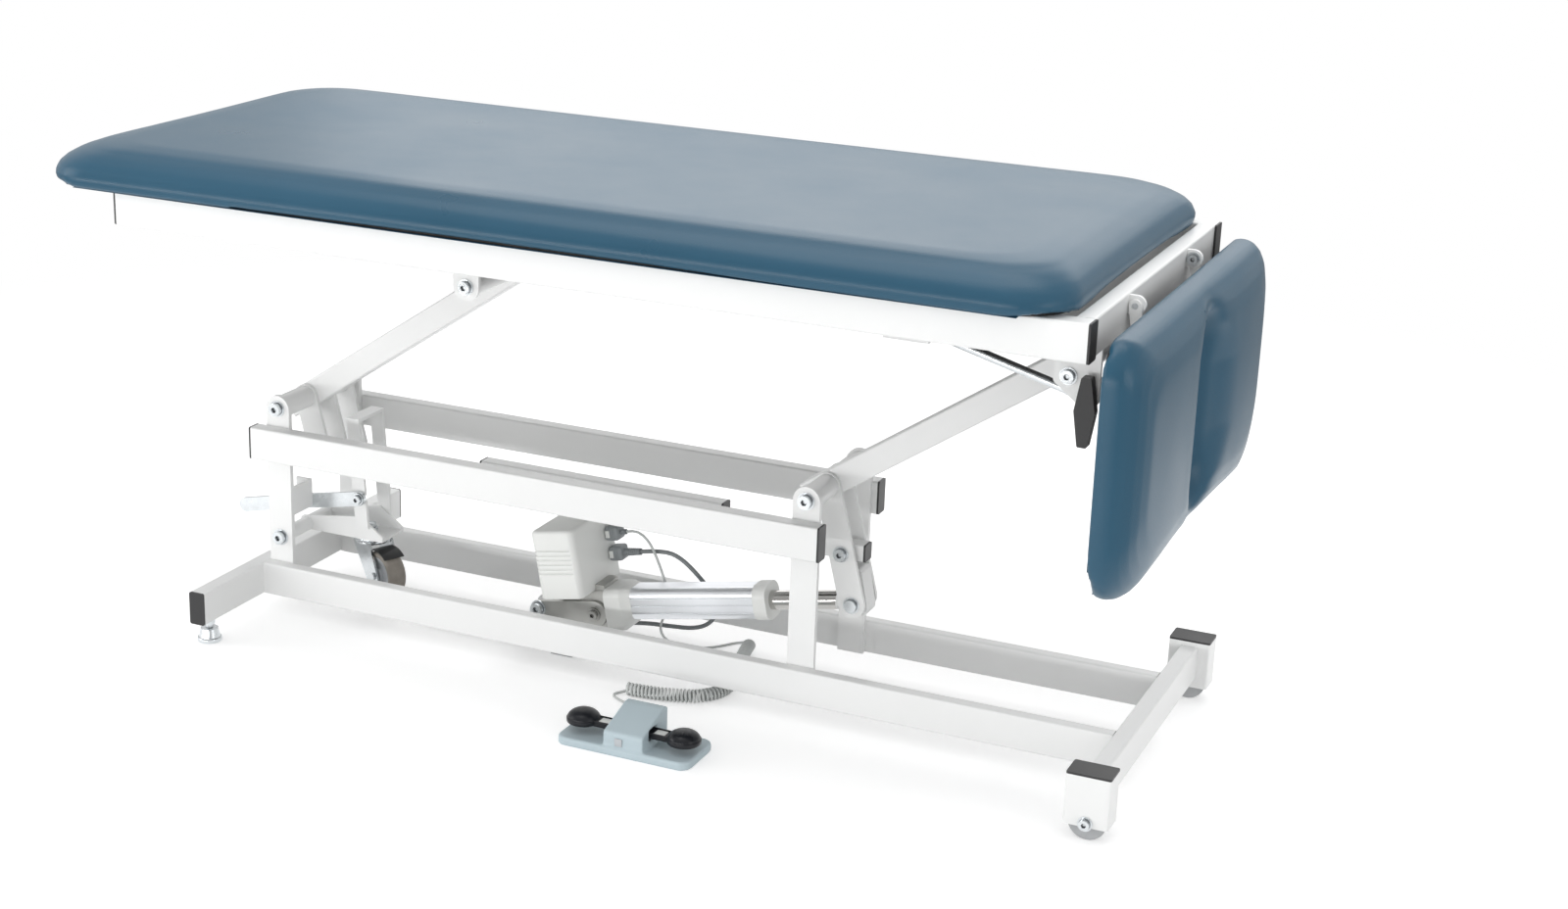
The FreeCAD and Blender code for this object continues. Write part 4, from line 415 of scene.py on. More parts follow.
# %% Dressing the frame's own pieces
finish_of = (
    (black_plastic, ("base_caps", "tie_caps", "top_caps", "release_handle")),
    (zinc, ("base_bolts", "levelling_feet", "actuator_pin", "tie_bolts", "top_bolts", "release_rod",
            "caster_lever", "caster_fork")),
    (plated_rod, ("piston_rod",)),
    (cast_alloy, ("gear_housing",)),
    (drawn_alloy, ("actuator_sleeve",)),
    (box_plastic, ("motor_box",)),
    (collar_plastic, ("sleeve_collars",)),
    (plug_plastic, ("mains_plug",)),
    (mains_sheath, ("mains_cord", "mains_coil")),
    (curl_sheath, ("control_cord", "control_curl")),
    (roller_rubber, ("roller_front", "roller_rear")),
    (sealed_ply, ("deck_board", "nose_board")),
    (blue_vinyl, ("main_cushion", "nose_cushion")),
)
dressed = {name: finish for finish, names in finish_of for name in names}
for name, node in nodes.items():
    for material_slot in node.material_slots:
        material_slot.material = dressed.get(name, white_powder)
print("dressed", len(dressed), "nodes, the other", len(nodes) - len(dressed), "in white")


# %% [markdown]
# ## Making a piece
# Every new piece ends the same way: its mesh becomes an object at the origin, gets its
# finish, and rides on a body of the frame. One helper does that, so no piece is forgotten.

# %% Making a piece
def finish_piece(name, shape, body, finish, corner=35.0, stands_for=None):
    """A bmesh becomes a named piece that rides on a body, and may stand for a node."""
    mesh = bpy.data.meshes.new(name)
    shape.to_mesh(mesh)
    shape.free()
    mesh.materials.append(finish)
    for face in mesh.polygons:
        face.use_smooth = True
    mesh.set_sharp_from_angle(angle=math.radians(corner))
    piece = placed(name, mesh)
    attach(piece, body)
    if stands_for:
        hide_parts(stands_for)
    return piece


def along(shape, start, end, verts):
    """Turns and moves verts made round the Z axis, so that they lie round a line."""
    start, end = Vector(start), Vector(end)
    turn = (end - start).to_track_quat("Z", "Y").to_matrix().to_4x4()
    bmesh.ops.transform(shape, matrix=Matrix.Translation(start) @ turn, verts=verts)


def turned(shape, profile, start, end, ring=False, steps=48):
    """A profile of (radius, height) pairs turned round the line from start towards end."""
    kept = set(shape.verts)
    spots = [shape.verts.new((radius, 0, height)) for radius, height in profile]
    pairs = list(zip(spots, spots[1:]))
    if ring:
        pairs.append((spots[-1], spots[0]))
    lines = [shape.edges.new(pair) for pair in pairs]
    bmesh.ops.spin(shape, geom=spots + lines, cent=(0, 0, 0), axis=(0, 0, 1), angle=math.tau,
                   steps=steps, use_merge=True)
    bmesh.ops.remove_doubles(shape, verts=[v for v in shape.verts if v not in kept], dist=0.000004)
    made = [v for v in shape.verts if v not in kept]
    faces = list({face for vert in made for face in vert.link_faces})
    bmesh.ops.recalc_face_normals(shape, faces=faces)
    along(shape, start, end, made)


def round_edges(shape, edges, radius, segments):
    """Rounds some edges of a shape."""
    bmesh.ops.bevel(shape, geom=edges, offset=radius, offset_type="OFFSET", affect="EDGES",
                    segments=segments, profile=0.5, material=-1)


def block(shape, low, high, rounding, segments=3):
    """A block between two corners with its edges rounded."""
    low, high = Vector(low), Vector(high)
    place = Matrix.Translation((low + high) / 2) @ Matrix.Diagonal((*(high - low), 1.0))
    cube = bmesh.ops.create_cube(shape, size=1.0, matrix=place)["verts"]
    round_edges(shape, list({edge for vert in cube for edge in vert.link_edges}), rounding, segments)


def merged_copy(node_name):
    """A node's solid as a bmesh, with its doubled points merged."""
    shape = bmesh.new()
    shape.from_mesh(nodes[node_name].data)
    bmesh.ops.remove_doubles(shape, verts=shape.verts, dist=0.00002)
    return shape


def bake_modifiers(piece):
    """The evaluated mesh replaces the piece's own, and its modifiers go."""
    ready = bpy.data.meshes.new_from_object(
        piece.evaluated_get(bpy.context.evaluated_depsgraph_get()))
    piece.modifiers.clear()
    piece.data = ready


def even_skin(name, shape, voxel):
    """A bmesh becomes an object whose surface is an even skin of small quads."""
    mesh = bpy.data.meshes.new(name)
    shape.to_mesh(mesh)
    shape.free()
    skin = placed(name, mesh)
    remesh = skin.modifiers.new("even_skin", "REMESH")
    remesh.mode = "VOXEL"
    remesh.voxel_size = voxel
    bake_modifiers(skin)
    return skin


print("piece helpers ready")


# %% [markdown]
# ## Swelling a cushion
# A pad is foam on a board, wrapped in vinyl that is pulled over the edge and stapled
# below. Under that pull the foam swells a little between its edges, so the face is crowned
# and the sides are full. We copy the frame's solid, give it an even skin with the voxel
# remesher, and let a cloth simulation press it out for ten frames. Only how far each point
# lifts is kept, evened out and limited. The side on the board stays flat.

# %% Swelling a cushion
def cushion_copy(node_name, board_name, voxel):
    """The cushion's solid without its board's pocket, with an even skin of small quads."""
    shape = merged_copy(node_name)
    low, high = node_box(board_name)
    slack = Vector((0.0005, 0.0005, 0.0005))
    low, high = low - slack, high + slack
    pocket = [face for face in shape.faces
              if all(low[axis] < vert.co[axis] < high[axis] for vert in face.verts for axis in range(3))]
    bmesh.ops.delete(shape, geom=pocket, context="FACES")
    rim = [edge for edge in shape.edges if edge.is_boundary]
    bmesh.ops.holes_fill(shape, edges=rim, sides=0)
    bmesh.ops.recalc_face_normals(shape, faces=shape.faces)
    skin = even_skin(node_name + "_skin", shape, voxel)
    print(node_name, "pocket faces", len(pocket), "skin points", len(skin.data.vertices))
    return skin


def lie_on_the_board(skin, board_name, axis, lift):
    """The skin's flat side stands a hair inside the board's back, so the board shows there."""
    low, high = node_box(board_name)
    across = [other for other in range(3) if other != axis]
    for vertex in skin.data.vertices:
        inside = all(low[other] < vertex.co[other] < high[other] for other in across)
        if inside and vertex.co[axis] < low[axis] + lift:
            vertex.co[axis] = low[axis] + lift


def places_and_normals(skin):
    """Every point of a skin and its normal, as two arrays."""
    count = len(skin.data.vertices)
    places, normals = np.empty(count * 3), np.empty(count * 3)
    skin.data.vertices.foreach_get("co", places)
    skin.data.vertices.foreach_get("normal", normals)
    return places.reshape(-1, 3), normals.reshape(-1, 3)


def swell(skin, cap, held, rounds, frames=10):
    """Cloth under pressure says how far each point lifts; the lift is evened out and capped."""
    before, normals = places_and_normals(skin)
    freedom = np.array([held(vertex.co) for vertex in skin.data.vertices])
    cloth = skin.modifiers.new("skin_under_pressure", "CLOTH")
    cloth.settings.quality = 5
    cloth.settings.mass = 0.4
    cloth.settings.tension_stiffness = 12.0
    cloth.settings.compression_stiffness = 12.0
    cloth.settings.bending_stiffness = 0.6
    cloth.settings.use_pressure = True
    cloth.settings.uniform_pressure_force = 4.0
    cloth.settings.effector_weights.gravity = 0.0
    pins = skin.vertex_groups.new(name="on_the_board")
    for index, free in enumerate(freedom):
        pins.add([index], 1.0 - free, "REPLACE")
    cloth.settings.vertex_group_mass = "on_the_board"
    for frame_number in range(1, frames + 1):
        scene.frame_set(frame_number)
    bake_modifiers(skin)
    scene.frame_set(1)
    skin.vertex_groups.clear()
    after = places_and_normals(skin)[0]
    lift = np.clip(((after - before) * normals).sum(axis=1), 0.0, cap)
    ends = np.array([edge.vertices[:] for edge in skin.data.edges])
    first, second, count = ends[:, 0], ends[:, 1], len(lift)
    touching = np.bincount(first, minlength=count) + np.bincount(second, minlength=count)
    for _ in range(rounds):
        around = np.bincount(first, lift[second], count) + np.bincount(second, lift[first], count)
        lift = (lift + around / touching) / 2
    settled = before + normals * (lift * freedom)[:, None]
    skin.data.vertices.foreach_set("co", settled.ravel())
    skin.data.update()
    print(skin.name, "lifted by up to", round(float(lift.max()) * 1000, 1), "mm")


def relax(skin, held, rounds):
    """Smooths a skin for some rounds, less where held says so."""
    soft = skin.vertex_groups.new(name="free_to_relax")
    for vertex in skin.data.vertices:
        soft.add([vertex.index], held(vertex.co), "REPLACE")
    ironing = skin.modifiers.new("ironing", "SMOOTH")
    ironing.factor, ironing.iterations, ironing.vertex_group = 0.5, rounds, "free_to_relax"
    bake_modifiers(skin)
    skin.vertex_groups.clear()


def upholster(skin, name, body, node_name):
    """The swollen skin becomes a vinyl cushion that stands for its node."""
    skin.name = name
    skin.data.name = name
    skin.data.materials.clear()
    skin.data.materials.append(blue_vinyl)
    for face in skin.data.polygons:
        face.use_smooth = True
        face.material_index = 0
    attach(skin, body)
    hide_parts(node_name)
    print(name, "points", len(skin.data.vertices))


# %% [markdown]
# ### Main cushion
# The long pad lies on the top's board. Its underside is held still where it rests, and
# over the next twelve millimetres the skin comes free.

# %% Main cushion
pad_foot = node_box("main_cushion")[0].z


def free_of_the_board(point):
    """0 on the underside that rests on the board, 1 on the crowned top."""
    return clamped((point.z - pad_foot - 0.004) / 0.012)


main_pad = cushion_copy("main_cushion", "deck_board", 0.0065)
swell(main_pad, 0.004, free_of_the_board, 40)
lie_on_the_board(main_pad, "deck_board", 2, 0.0006)
upholster(main_pad, "main_pad", "top", "main_cushion")

# %% [markdown]
# ## Nose section's cushion
# The same upholstery hangs at the head end, with a slot for the face through its middle.
# The real one is one foam with the vinyl drawn down into the slot, so its rim is as soft
# as the outer edge. It swells by the same cloth, held still at the back by its board.

# %% Nose section's cushion
nose_back = node_box("nose_cushion")[0].x
slot_half, slot_low, slot_high = 0.037, 0.422, 0.588
seam_y = -0.030


def free_of_the_nose_board(point):
    """0 on the back that rests on the board, 1 on the crowned face."""
    return clamped((point.x - nose_back - 0.014) / 0.012)


def bell(distance, width):
    """1 at distance 0, falling softly to 0 over about two widths."""
    return math.exp(-(distance / width) ** 2)


def from_the_slot(point):
    """How far a point lies outside the face slot's rim."""
    past = point.z - clamped(point.z, slot_low, slot_high)
    return math.hypot(point.y, past) - slot_half


def press_the_face(skin):
    """Crowns both halves, draws the vinyl down round the slot and pulls in one long crease."""
    for vertex in skin.data.vertices:
        spot = vertex.co
        front = clamped((spot.x - nose_back - 0.016) / 0.030)
        outside = max(0.0, from_the_slot(spot))
        rear_side = clamped((spot.y + 0.030) / 0.050)
        beside = clamped((spot.z - slot_low) / 0.06 + 0.4) * clamped((slot_high - spot.z) / 0.06 + 0.4)
        drawn = 0.018 * rear_side * bell(outside, 0.022 + 0.030 * beside)
        drawn += 0.006 * (1 - rear_side) * bell(outside, 0.016)
        below = slot_low - slot_half - spot.z
        above = spot.z - slot_high - slot_half + 0.004
        beyond = max(0.0, below, above)
        along_crease = 1.0 if spot.z < slot_low else max(0.0, 1 - beyond / 0.022)
        aside = spot.y - seam_y
        crease = 0.008 * along_crease * bell(aside, 0.007 if aside < 0 else 0.011) * (beyond > 0)
        crown = 0.004 * bell(abs(spot.y) - 0.190, 0.090) * bell(spot.z - 0.50, 0.16)
        spot.x += front * (crown - max(drawn, crease))


def rim_behind_the_crease(point):
    """1 round the slot's rear rim, where the vinyl rolls softly into the slot."""
    rear_side = clamped((point.y + 0.020) / 0.020)
    return rear_side * bell(from_the_slot(point) - 0.010, 0.028) * free_of_the_nose_board(point)


nose_pad = cushion_copy("nose_cushion", "nose_board", 0.0042)
press_the_face(nose_pad)
relax(nose_pad, rim_behind_the_crease, 9)
swell(nose_pad, 0.003, free_of_the_nose_board, 30)
lie_on_the_board(nose_pad, "nose_board", 0, 0.0006)
upholster(nose_pad, "nose_pad", "nose", "nose_cushion")

# %% [markdown]
# ### Boards inside the pads
# Each pad is built on a sealed plywood board that only shows from below. The vinyl is
# pulled round its edge, so the board we show is a copy of the frame's own, a few
# millimetres smaller all round, and no corner of it pricks through the skin.

# %% Boards inside the pads
def smaller_board(name, node_name, body, axis, edge):
    """A copy of a board drawn in by edge on every side but its thickness."""
    shape = merged_copy(node_name)
    low, high = node_box(node_name)
    middle, size = (low + high) / 2, high - low
    shrink = Vector([1.0 if index == axis else 1 - 2 * edge / size[index] for index in range(3)])
    bmesh.ops.translate(shape, vec=-middle, verts=shape.verts)
    bmesh.ops.scale(shape, vec=shrink, verts=shape.verts)
    bmesh.ops.translate(shape, vec=middle, verts=shape.verts)
    return finish_piece(name, shape, body, sealed_ply, stands_for=node_name)


deck_panel = smaller_board("deck_panel", "deck_board", "top", 2, 0.007)
nose_panel = smaller_board("nose_panel", "nose_board", "nose", 0, 0.005)
print("boards", len(deck_panel.data.polygons), len(nose_panel.data.polygons))

# %% [markdown]
# ### Seam beside the face slot
# The vinyl that lines the slot is a second panel. It is joined to the face by one seam down
# the slot's front side, which runs on to the pad's lower edge and pulls the crease there.
# A seam is a shallow raised line, so we lay a thin tube on the pad: rays shot at the pad
# from the front find the height of every point.

# %% Seam beside the face slot
def smooth_line(name, points, radius, closed=False, sides=3, steps=4):
    """A NURBS tube that follows points; order and ends are set after the points are in."""
    line = bpy.data.curves.new(name, "CURVE")
    line.dimensions = "3D"
    line.bevel_depth = radius
    line.bevel_resolution = sides
    line.use_fill_caps = not closed
    spline = line.splines.new("NURBS")
    spline.points.add(len(points) - 1)
    for spot, point in zip(spline.points, points):
        spot.co = (*point, 1.0)
    spline.use_cyclic_u = closed
    spline.order_u = 3
    spline.use_endpoint_u = not closed
    spline.resolution_u = steps
    return placed(name, line)


def hang_line(line, finish, body, slot, *stands_for):
    """A line takes its finish, rides on a body and may stand for nodes."""
    line.data.materials.append(finish)
    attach(line, body)
    if stands_for:
        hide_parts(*stands_for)


seam_points = []
seam_top, seam_steps, seam_step = 0.648, 27, 0.0115
for step in range(seam_steps):
    z = seam_top - step * seam_step
    bowed = seam_y - 0.0135 * bell(z - 0.505, 0.120)
    hit, spot = nose_pad.ray_cast(Vector((1.2, bowed, z)), Vector((-1, 0, 0)))[:2]
    if hit and spot.x > nose_back + 0.02:
        seam_points.append(spot - Vector((0.0001, 0, 0)))
slot_seam = smooth_line("slot_seam", seam_points, 0.0008)
hang_line(slot_seam, blue_vinyl, "nose", "blue_vinyl")
print("seam points", len(seam_points))

# %% [markdown]
# ## Mains cord
# The cord leaves its connector on the control box, droops to the cross member and runs to
# a put-away coil on the floor behind the front rail, with its plug at the end. It is one
# NURBS line through the same points as the frame's cord. A coil's turn is a ring of
# control points a little outside the circle, because the line passes inside its points.

# %% Mains cord
pin_place = Vector((-0.1645, 0, 0.0595))
tilt = math.radians(11.06)
actuator_way = Vector((math.cos(tilt), 0, math.sin(tilt)))
actuator_rise = Vector((-math.sin(tilt), 0, math.cos(tilt)))


def on_actuator(u, w, y):
    """A point given along, above and across the actuator's own axis."""
    return pin_place + actuator_way * u + actuator_rise * w + Vector((0, y, 0))


def metres(*millimetres):
    """Points given in millimetres, in metres."""
    return [Vector(point) / 1000 for point in millimetres]


mains_radius, layer_rise = 0.00325, 0.0071
mains_exit = on_actuator(0.1459, 0.062, 0.044)
mains_route = metres((4, 44, 157), (32, 46, 150), (62, 49, 124), (84, 52, 98), (90, 54, 72),
                     (78, 54, 50), (52, 54, 38), (14, 53, 35), (-32, 53, 32), (-82, 50, 21),
                     (-130, 47, 8), (-168, 44, 3.25))
coil_run, coil_steps = 0.130, 6
turn_radii = [0.042, 0.038, 0.034, 0.030, 0.026, 0.022, 0.022, 0.026, 0.030, 0.034, 0.038]


def coil_points(start):
    """Oblong turns inwards on the floor, a climb, and turns outwards on top of them."""
    points, place, way, height = [], start.copy(), -1.0, start.z
    half_step = math.pi / (2 * coil_steps)
    for index, radius in enumerate(turn_radii):
        half_side = radius * math.tan(half_step)
        points.append(Vector((place.x + way * half_side, place.y, height)))
        if index == len(turn_radii) // 2 + 1:
            height += layer_rise
        end_x = place.x + way * coil_run
        points.append(Vector((end_x - way * half_side, place.y, height)))
        for step in range(coil_steps):
            turn = (2 * step + 1) * half_step
            outer = radius / math.cos(half_step)
            points.append(Vector((end_x + way * outer * math.sin(turn),
                                  place.y + way * (radius - outer * math.cos(turn)), height)))
        place = Vector((end_x, place.y + way * 2 * radius, height))
        way = -way
    return points, place, way


coil_start = Vector((-0.197, 0.044, mains_radius))
coil, coil_end, coil_way = coil_points(coil_start)
tail_run = 0.182
plug_joint = Vector((coil_end.x + coil_way * tail_run, coil_end.y, coil_end.z))
mains_points = [mains_exit] + mains_route + coil + [plug_joint]
mains_lead = smooth_line("mains_lead", mains_points, mains_radius, sides=4)
hang_line(mains_lead, mains_sheath, "base", "cord_grey", "mains_cord", "mains_coil")
print("mains exit", mains_exit, "plug joint", plug_joint)

# %% [markdown]
# ## Foot control's cord
# A thin cord hangs from the second connector, then turns into a stretch of tight curls on
# the floor, a small loop, and a straight lead into the control. The curls are a helix
# round a smooth line: we ask Blender for the points of that line, walk along it and place
# twelve control points for each curl.

# %% Foot control's cord
cord_radius, curl_radius, curl_pitch, curl_height = 0.002, 0.008, 0.0056, 0.0106
control_exit = on_actuator(0.1274, 0.094, 0.042)
control_route = metres((-38, 39, 184), (-15, 36, 170), (-1, 35, 145), (14, 34, 110), (21, 34, 84),
                       (13, 36, 60), (2, 40, 36), (6, 47, 15), (30, 57, 4), (62, 70, 2),
                       (82, 92, 2), (94, 112, 2.1), (108, 123, 2.3), (119.3, 122.6, 2.6),
                       (122.3, 106.8, 2.6))
curl_route = metres((124, 98, 0), (135, 40, 0), (155, -30, 0), (164, -71, 0), (145, -107, 0),
                    (112, -122, 0), (74, -132, 0), (36, -134, 0))
lead_route = metres((28, -133, 3), (19, -142, 2.2), (27, -154, 2.2), (56, -167, 3), (88, -190, 8),
                    (106, -215, 18), (112, -231, 28), (112, -243, 28))


def walked(points, spacing):
    """Points at even distances along a smooth line that follows points."""
    guide = smooth_line("guide", points, 0.0, steps=24)
    drawn = bpy.data.meshes.new_from_object(
        guide.evaluated_get(bpy.context.evaluated_depsgraph_get()))
    corners = [vertex.co.copy() for vertex in drawn.vertices]
    bpy.data.objects.remove(guide)
    even, left = [corners[0]], spacing
    for start, end in zip(corners, corners[1:]):
        run = (end - start).length
        while left < run:
            even.append(start.lerp(end, left / run))
            left += spacing
        left -= run
    return even


def curls(points):
    """Twelve control points a curl, round the walked line, starting at its underside."""
    around, up = 12, Vector((0, 0, 1))
    axis = walked([point + up * curl_height for point in points], curl_pitch / around)
    outer = curl_radius / math.cos(math.pi / around)
    ring = []
    for index in range(1, len(axis) - 1):
        way = (axis[index + 1] - axis[index - 1]).normalized()
        turn = 2 * math.pi * index / around - math.pi / 2
        ring.append(axis[index] + outer * (math.cos(turn) * up.cross(way) + math.sin(turn) * up))
    return ring


curl_points = curls(curl_route)
control_points = [control_exit] + control_route + curl_points + lead_route
control_lead = smooth_line("control_lead", control_points, cord_radius, sides=2, steps=3)
hang_line(control_lead, curl_sheath, "base", "cord_grey", "control_cord", "control_curl")
print("curl points", len(curl_points))

# %% [markdown]
# ## Connectors on the control box
# Each cord plugs into the box through a moulded connector: a rounded body with two grip
# ridges, a pale latch on each side, and a ribbed relief that keeps the cord from kinking.
# They are built lying along the actuator's own axis and then turned onto it together.

# %% Connectors on the control box
onto_actuator = Matrix.Translation(pin_place) @ Matrix.Rotation(-tilt, 4, "Y")
box_face, body_length, body_half_width, body_half_height = 0.0981, 0.0218, 0.0128, 0.0108
ridge_proud, ridge_width, ridge_half_height = 0.0007, 0.0022, 0.008
latch_proud, latch_half_height, rib_depth = 0.0009, 0.0055, 0.0010
mains_place, control_place = (0.044, 0.062), (0.042, 0.094)


def ribbed(root, tip, bore, length, ribs):
    """A relief's profile: ribs that shrink towards the tip, and an open mouth for the cord."""
    profile = [(0.0, 0.0)]
    pitch = length / ribs
    for rib in range(ribs):
        radius = root + (tip - root) * rib / (ribs - 1)
        start = rib * pitch
        profile += [(radius, start), (radius, start + 0.55 * pitch),
                    (radius - rib_depth, start + 0.62 * pitch), (radius - rib_depth, start + 0.93 * pitch)]
    mouth = length - 0.003
    return profile + [(tip, length), (bore, length), (bore, mouth), (0.0, mouth)]


def connector_body(shape, place, relief_length, root, tip, bore, ribs):
    """One connector in the actuator's own frame, at a place across and up the box."""
    across, height = place
    end = box_face + body_length
    block(shape, (box_face, across - body_half_width, height - body_half_height),
          (end, across + body_half_width, height + body_half_height), 0.0042, 4)
    ridge_half = body_half_width + ridge_proud
    for ridge in (box_face + 0.010, box_face + 0.0145):
        block(shape, (ridge, across - ridge_half, height - ridge_half_height),
              (ridge + ridge_width, across + ridge_half, height + ridge_half_height), 0.0006, 2)
    turned(shape, ribbed(root, tip, bore, relief_length, ribs), (end - 0.001, across, height),
           (end + 0.1, across, height), steps=28)


connectors = bmesh.new()
connector_body(connectors, mains_place, 0.0278, 0.0062, 0.0052, 0.0042, 8)
connector_body(connectors, control_place, 0.0100, 0.0046, 0.0040, 0.0031, 4)
bmesh.ops.transform(connectors, matrix=onto_actuator, verts=connectors.verts)
connector_bodies = finish_piece("connector_bodies", connectors, "actuator", plug_plastic,
                                stands_for="cord_connectors")

latches = bmesh.new()
for across, height in (mains_place, control_place):
    for side in (-1, 1):
        near, far = sorted((across + side * body_half_width,
                            across + side * (body_half_width + latch_proud)))
        block(latches, (box_face + 0.0015, near, height - latch_half_height),
              (box_face + 0.0085, far, height + latch_half_height), 0.0004, 2)
bmesh.ops.transform(latches, matrix=onto_actuator, verts=latches.verts)
connector_latches = finish_piece("connector_latches", latches, "actuator", collar_plastic)
print("connectors", len(connector_bodies.data.polygons), "latches", len(connector_latches.data.polygons))

# %% [markdown]
# ## Motor and control box
# The box is a thin moulding with generous corners, and six cooling grooves run round three
# of its sides. We bevel a block, cut it by a pair of planes at each groove, and press the
# band between them inwards. The side with the connectors stays plain and bare.

# %% Motor and control box
box_low, box_high = Vector((0.0272, -0.0648, 0.0242)), Vector((0.0979, 0.0648, 0.1288))
box_corner, groove_depth, groove_height, groove_end = 0.011, 0.0014, 0.0030, 0.0905
groove_flank, groove_ramp = 0.0008, 0.0015
first_groove, groove_pitch, groove_count = 0.062, 0.007, 6


def upright(edge):
    """An edge that runs up the box."""
    return abs((edge.verts[0].co - edge.verts[1].co).normalized().z) > 0.9


def cut_across(shape, place, way):
    """Cuts a shape's faces where a plane meets them, and keeps both sides."""
    bmesh.ops.bisect_plane(shape, geom=shape.verts[:] + shape.edges[:] + shape.faces[:],
                           dist=0.000001, plane_co=place, plane_no=way)


box_shape = bmesh.new()
bmesh.ops.create_cube(box_shape, size=1.0, matrix=Matrix.Translation((box_low + box_high) / 2)
                      @ Matrix.Diagonal((*(box_high - box_low), 1.0)))
round_edges(box_shape, [edge for edge in box_shape.edges if upright(edge)], box_corner, 8)
for height, softness in ((box_high.z, 0.006), (box_low.z, 0.002)):
    rim = [edge for edge in box_shape.edges
           if all(abs(vert.co.z - height) < 0.00001 for vert in edge.verts)]
    round_edges(box_shape, rim, softness, 5)
groove_lows = [first_groove + groove_pitch * index for index in range(groove_count)]
for low in groove_lows:
    for height in (0.0, groove_flank, groove_height - groove_flank, groove_height):
        cut_across(box_shape, (0, 0, low + height), (0, 0, 1))
for end in (groove_end, groove_end - groove_ramp):
    cut_across(box_shape, (end, 0, 0), (1, 0, 0))
box_shape.normal_update()
inner_x, inner_y = box_low.x + box_corner, box_high.y - box_corner
for vert in box_shape.verts:
    grooved = any(low + 0.0005 < vert.co.z < low + groove_height - 0.0005 for low in groove_lows)
    if grooved and vert.co.x < groove_end - 0.001:
        out_y = math.copysign(max(0.0, abs(vert.co.y) - inner_y), vert.co.y)
        out = Vector((min(0.0, vert.co.x - inner_x), out_y))
        if out.length > 0:
            vert.co.xy -= out.normalized() * groove_depth
bmesh.ops.transform(box_shape, matrix=onto_actuator, verts=box_shape.verts)
box_shell = finish_piece("box_shell", box_shape, "actuator", box_plastic, corner=50.0,
                         stands_for="motor_box")
print("box faces", len(box_shell.data.polygons))

# %% [markdown]
# ## Foot control
# The control is one moulded shell with soft edges everywhere. The frame's solid has the
# right form but sharp edges, so a merged copy gets an even skin with the voxel remesher,
# and a few rounds of vertex smoothing melt its edges as a mould's radii do.

# %% Foot control
def moulded_copy(node_name, voxel, rounds):
    """A copy of a hard node whose edges and corners are softened all over."""
    copy = even_skin(node_name + "_copy", merged_copy(node_name), voxel)
    shape = bmesh.new()
    shape.from_mesh(copy.data)
    bpy.data.objects.remove(copy)
    for _ in range(rounds):
        bmesh.ops.smooth_vert(shape, verts=shape.verts, factor=0.5, use_axis_x=True, use_axis_y=True,
                              use_axis_z=True)
    return shape


control_shell = finish_piece("control_shell", moulded_copy("pedal_housing", 0.0012, 8), "base",
                             control_plastic, corner=80.0, stands_for="pedal_housing")

plate_shape = bmesh.new()
block(plate_shape, (0.1125, -0.3225, 0.0150), (0.1235, -0.3213, 0.0260), 0.0004, 2)
finish_piece("control_plate", plate_shape, "base", hub_plastic)
grommet_shape = bmesh.new()
turned(grommet_shape, [(0.0, 0.0), (0.0058, 0.0), (0.0058, 0.002), (0.0042, 0.0032), (0.0042, 0.0046),
                       (0.0036, 0.0056), (0.0036, 0.0070), (0.0028, 0.0084), (0.0, 0.0084)],
       (0.112, -0.2432, 0.028), (0.112, 0.0, 0.028), steps=28)
finish_piece("control_grommet", grommet_shape, "base", control_plastic)
print("control shell", len(control_shell.data.polygons))

# %% [markdown]
# ## Treadles
# Each treadle is a glossy black button, a shallow dome over a thin rim, on a short arm that
# goes into the control. A pale plate lies in a framed recess on the arm. The dome is turned
# from its profile, and the arm is a rounded block between two side rims.

# %% Treadles
dome_profile = [(0.0, 0.0005), (0.0205, 0.0), (0.0228, 0.0006), (0.0238, 0.0020), (0.0239, 0.0062),
                (0.0234, 0.0074), (0.0226, 0.0078), (0.0225, 0.0084), (0.0219, 0.0100), (0.0202, 0.0122),
                (0.0176, 0.0144), (0.0140, 0.0164), (0.0100, 0.0177), (0.0052, 0.0184), (0.0, 0.0186)]
treadle_line, dome_foot, arm_top = -0.288, 0.0243, 0.0330
arm_half, rim_thickness, plate_half = 0.0108, 0.002, 0.0072


def treadle_piece(name, body, centre_x, hidden_x, node_name):
    """The dome, its arm with two rims and the pale plate between them."""
    way = 1 if hidden_x > centre_x else -1
    shape = bmesh.new()
    turned(shape, dome_profile, (centre_x, treadle_line, dome_foot), (centre_x, treadle_line, 1.0), steps=64)
    start, end = sorted((centre_x + way * 0.018, hidden_x))
    block(shape, (start, treadle_line - arm_half, dome_foot),
          (end, treadle_line + arm_half, arm_top - 0.0018), 0.0012)
    for side in (-1, 1):
        middle = treadle_line + side * (arm_half - rim_thickness / 2)
        block(shape, (start, middle - rim_thickness / 2, arm_top - 0.004),
              (end, middle + rim_thickness / 2, arm_top), 0.0005, 2)
    treadle = finish_piece(name, shape, body, dome_plastic, corner=50.0,
                           stands_for=node_name)
    plate = bmesh.new()
    low, high = sorted((centre_x + way * 0.0262, centre_x + way * 0.0425))
    block(plate, (low, treadle_line - plate_half, arm_top - 0.0021),
          (high, treadle_line + plate_half, arm_top - 0.0011), 0.0003, 2)
    finish_piece(name + "_plate", plate, body, collar_plastic)
    return treadle


left_button = treadle_piece("left_button", "left_treadle", 0.048, 0.1095, "treadle_left")
right_button = treadle_piece("right_button", "right_treadle", 0.200, 0.1385, "treadle_right")
print("buttons", len(left_button.data.polygons), len(right_button.data.polygons))
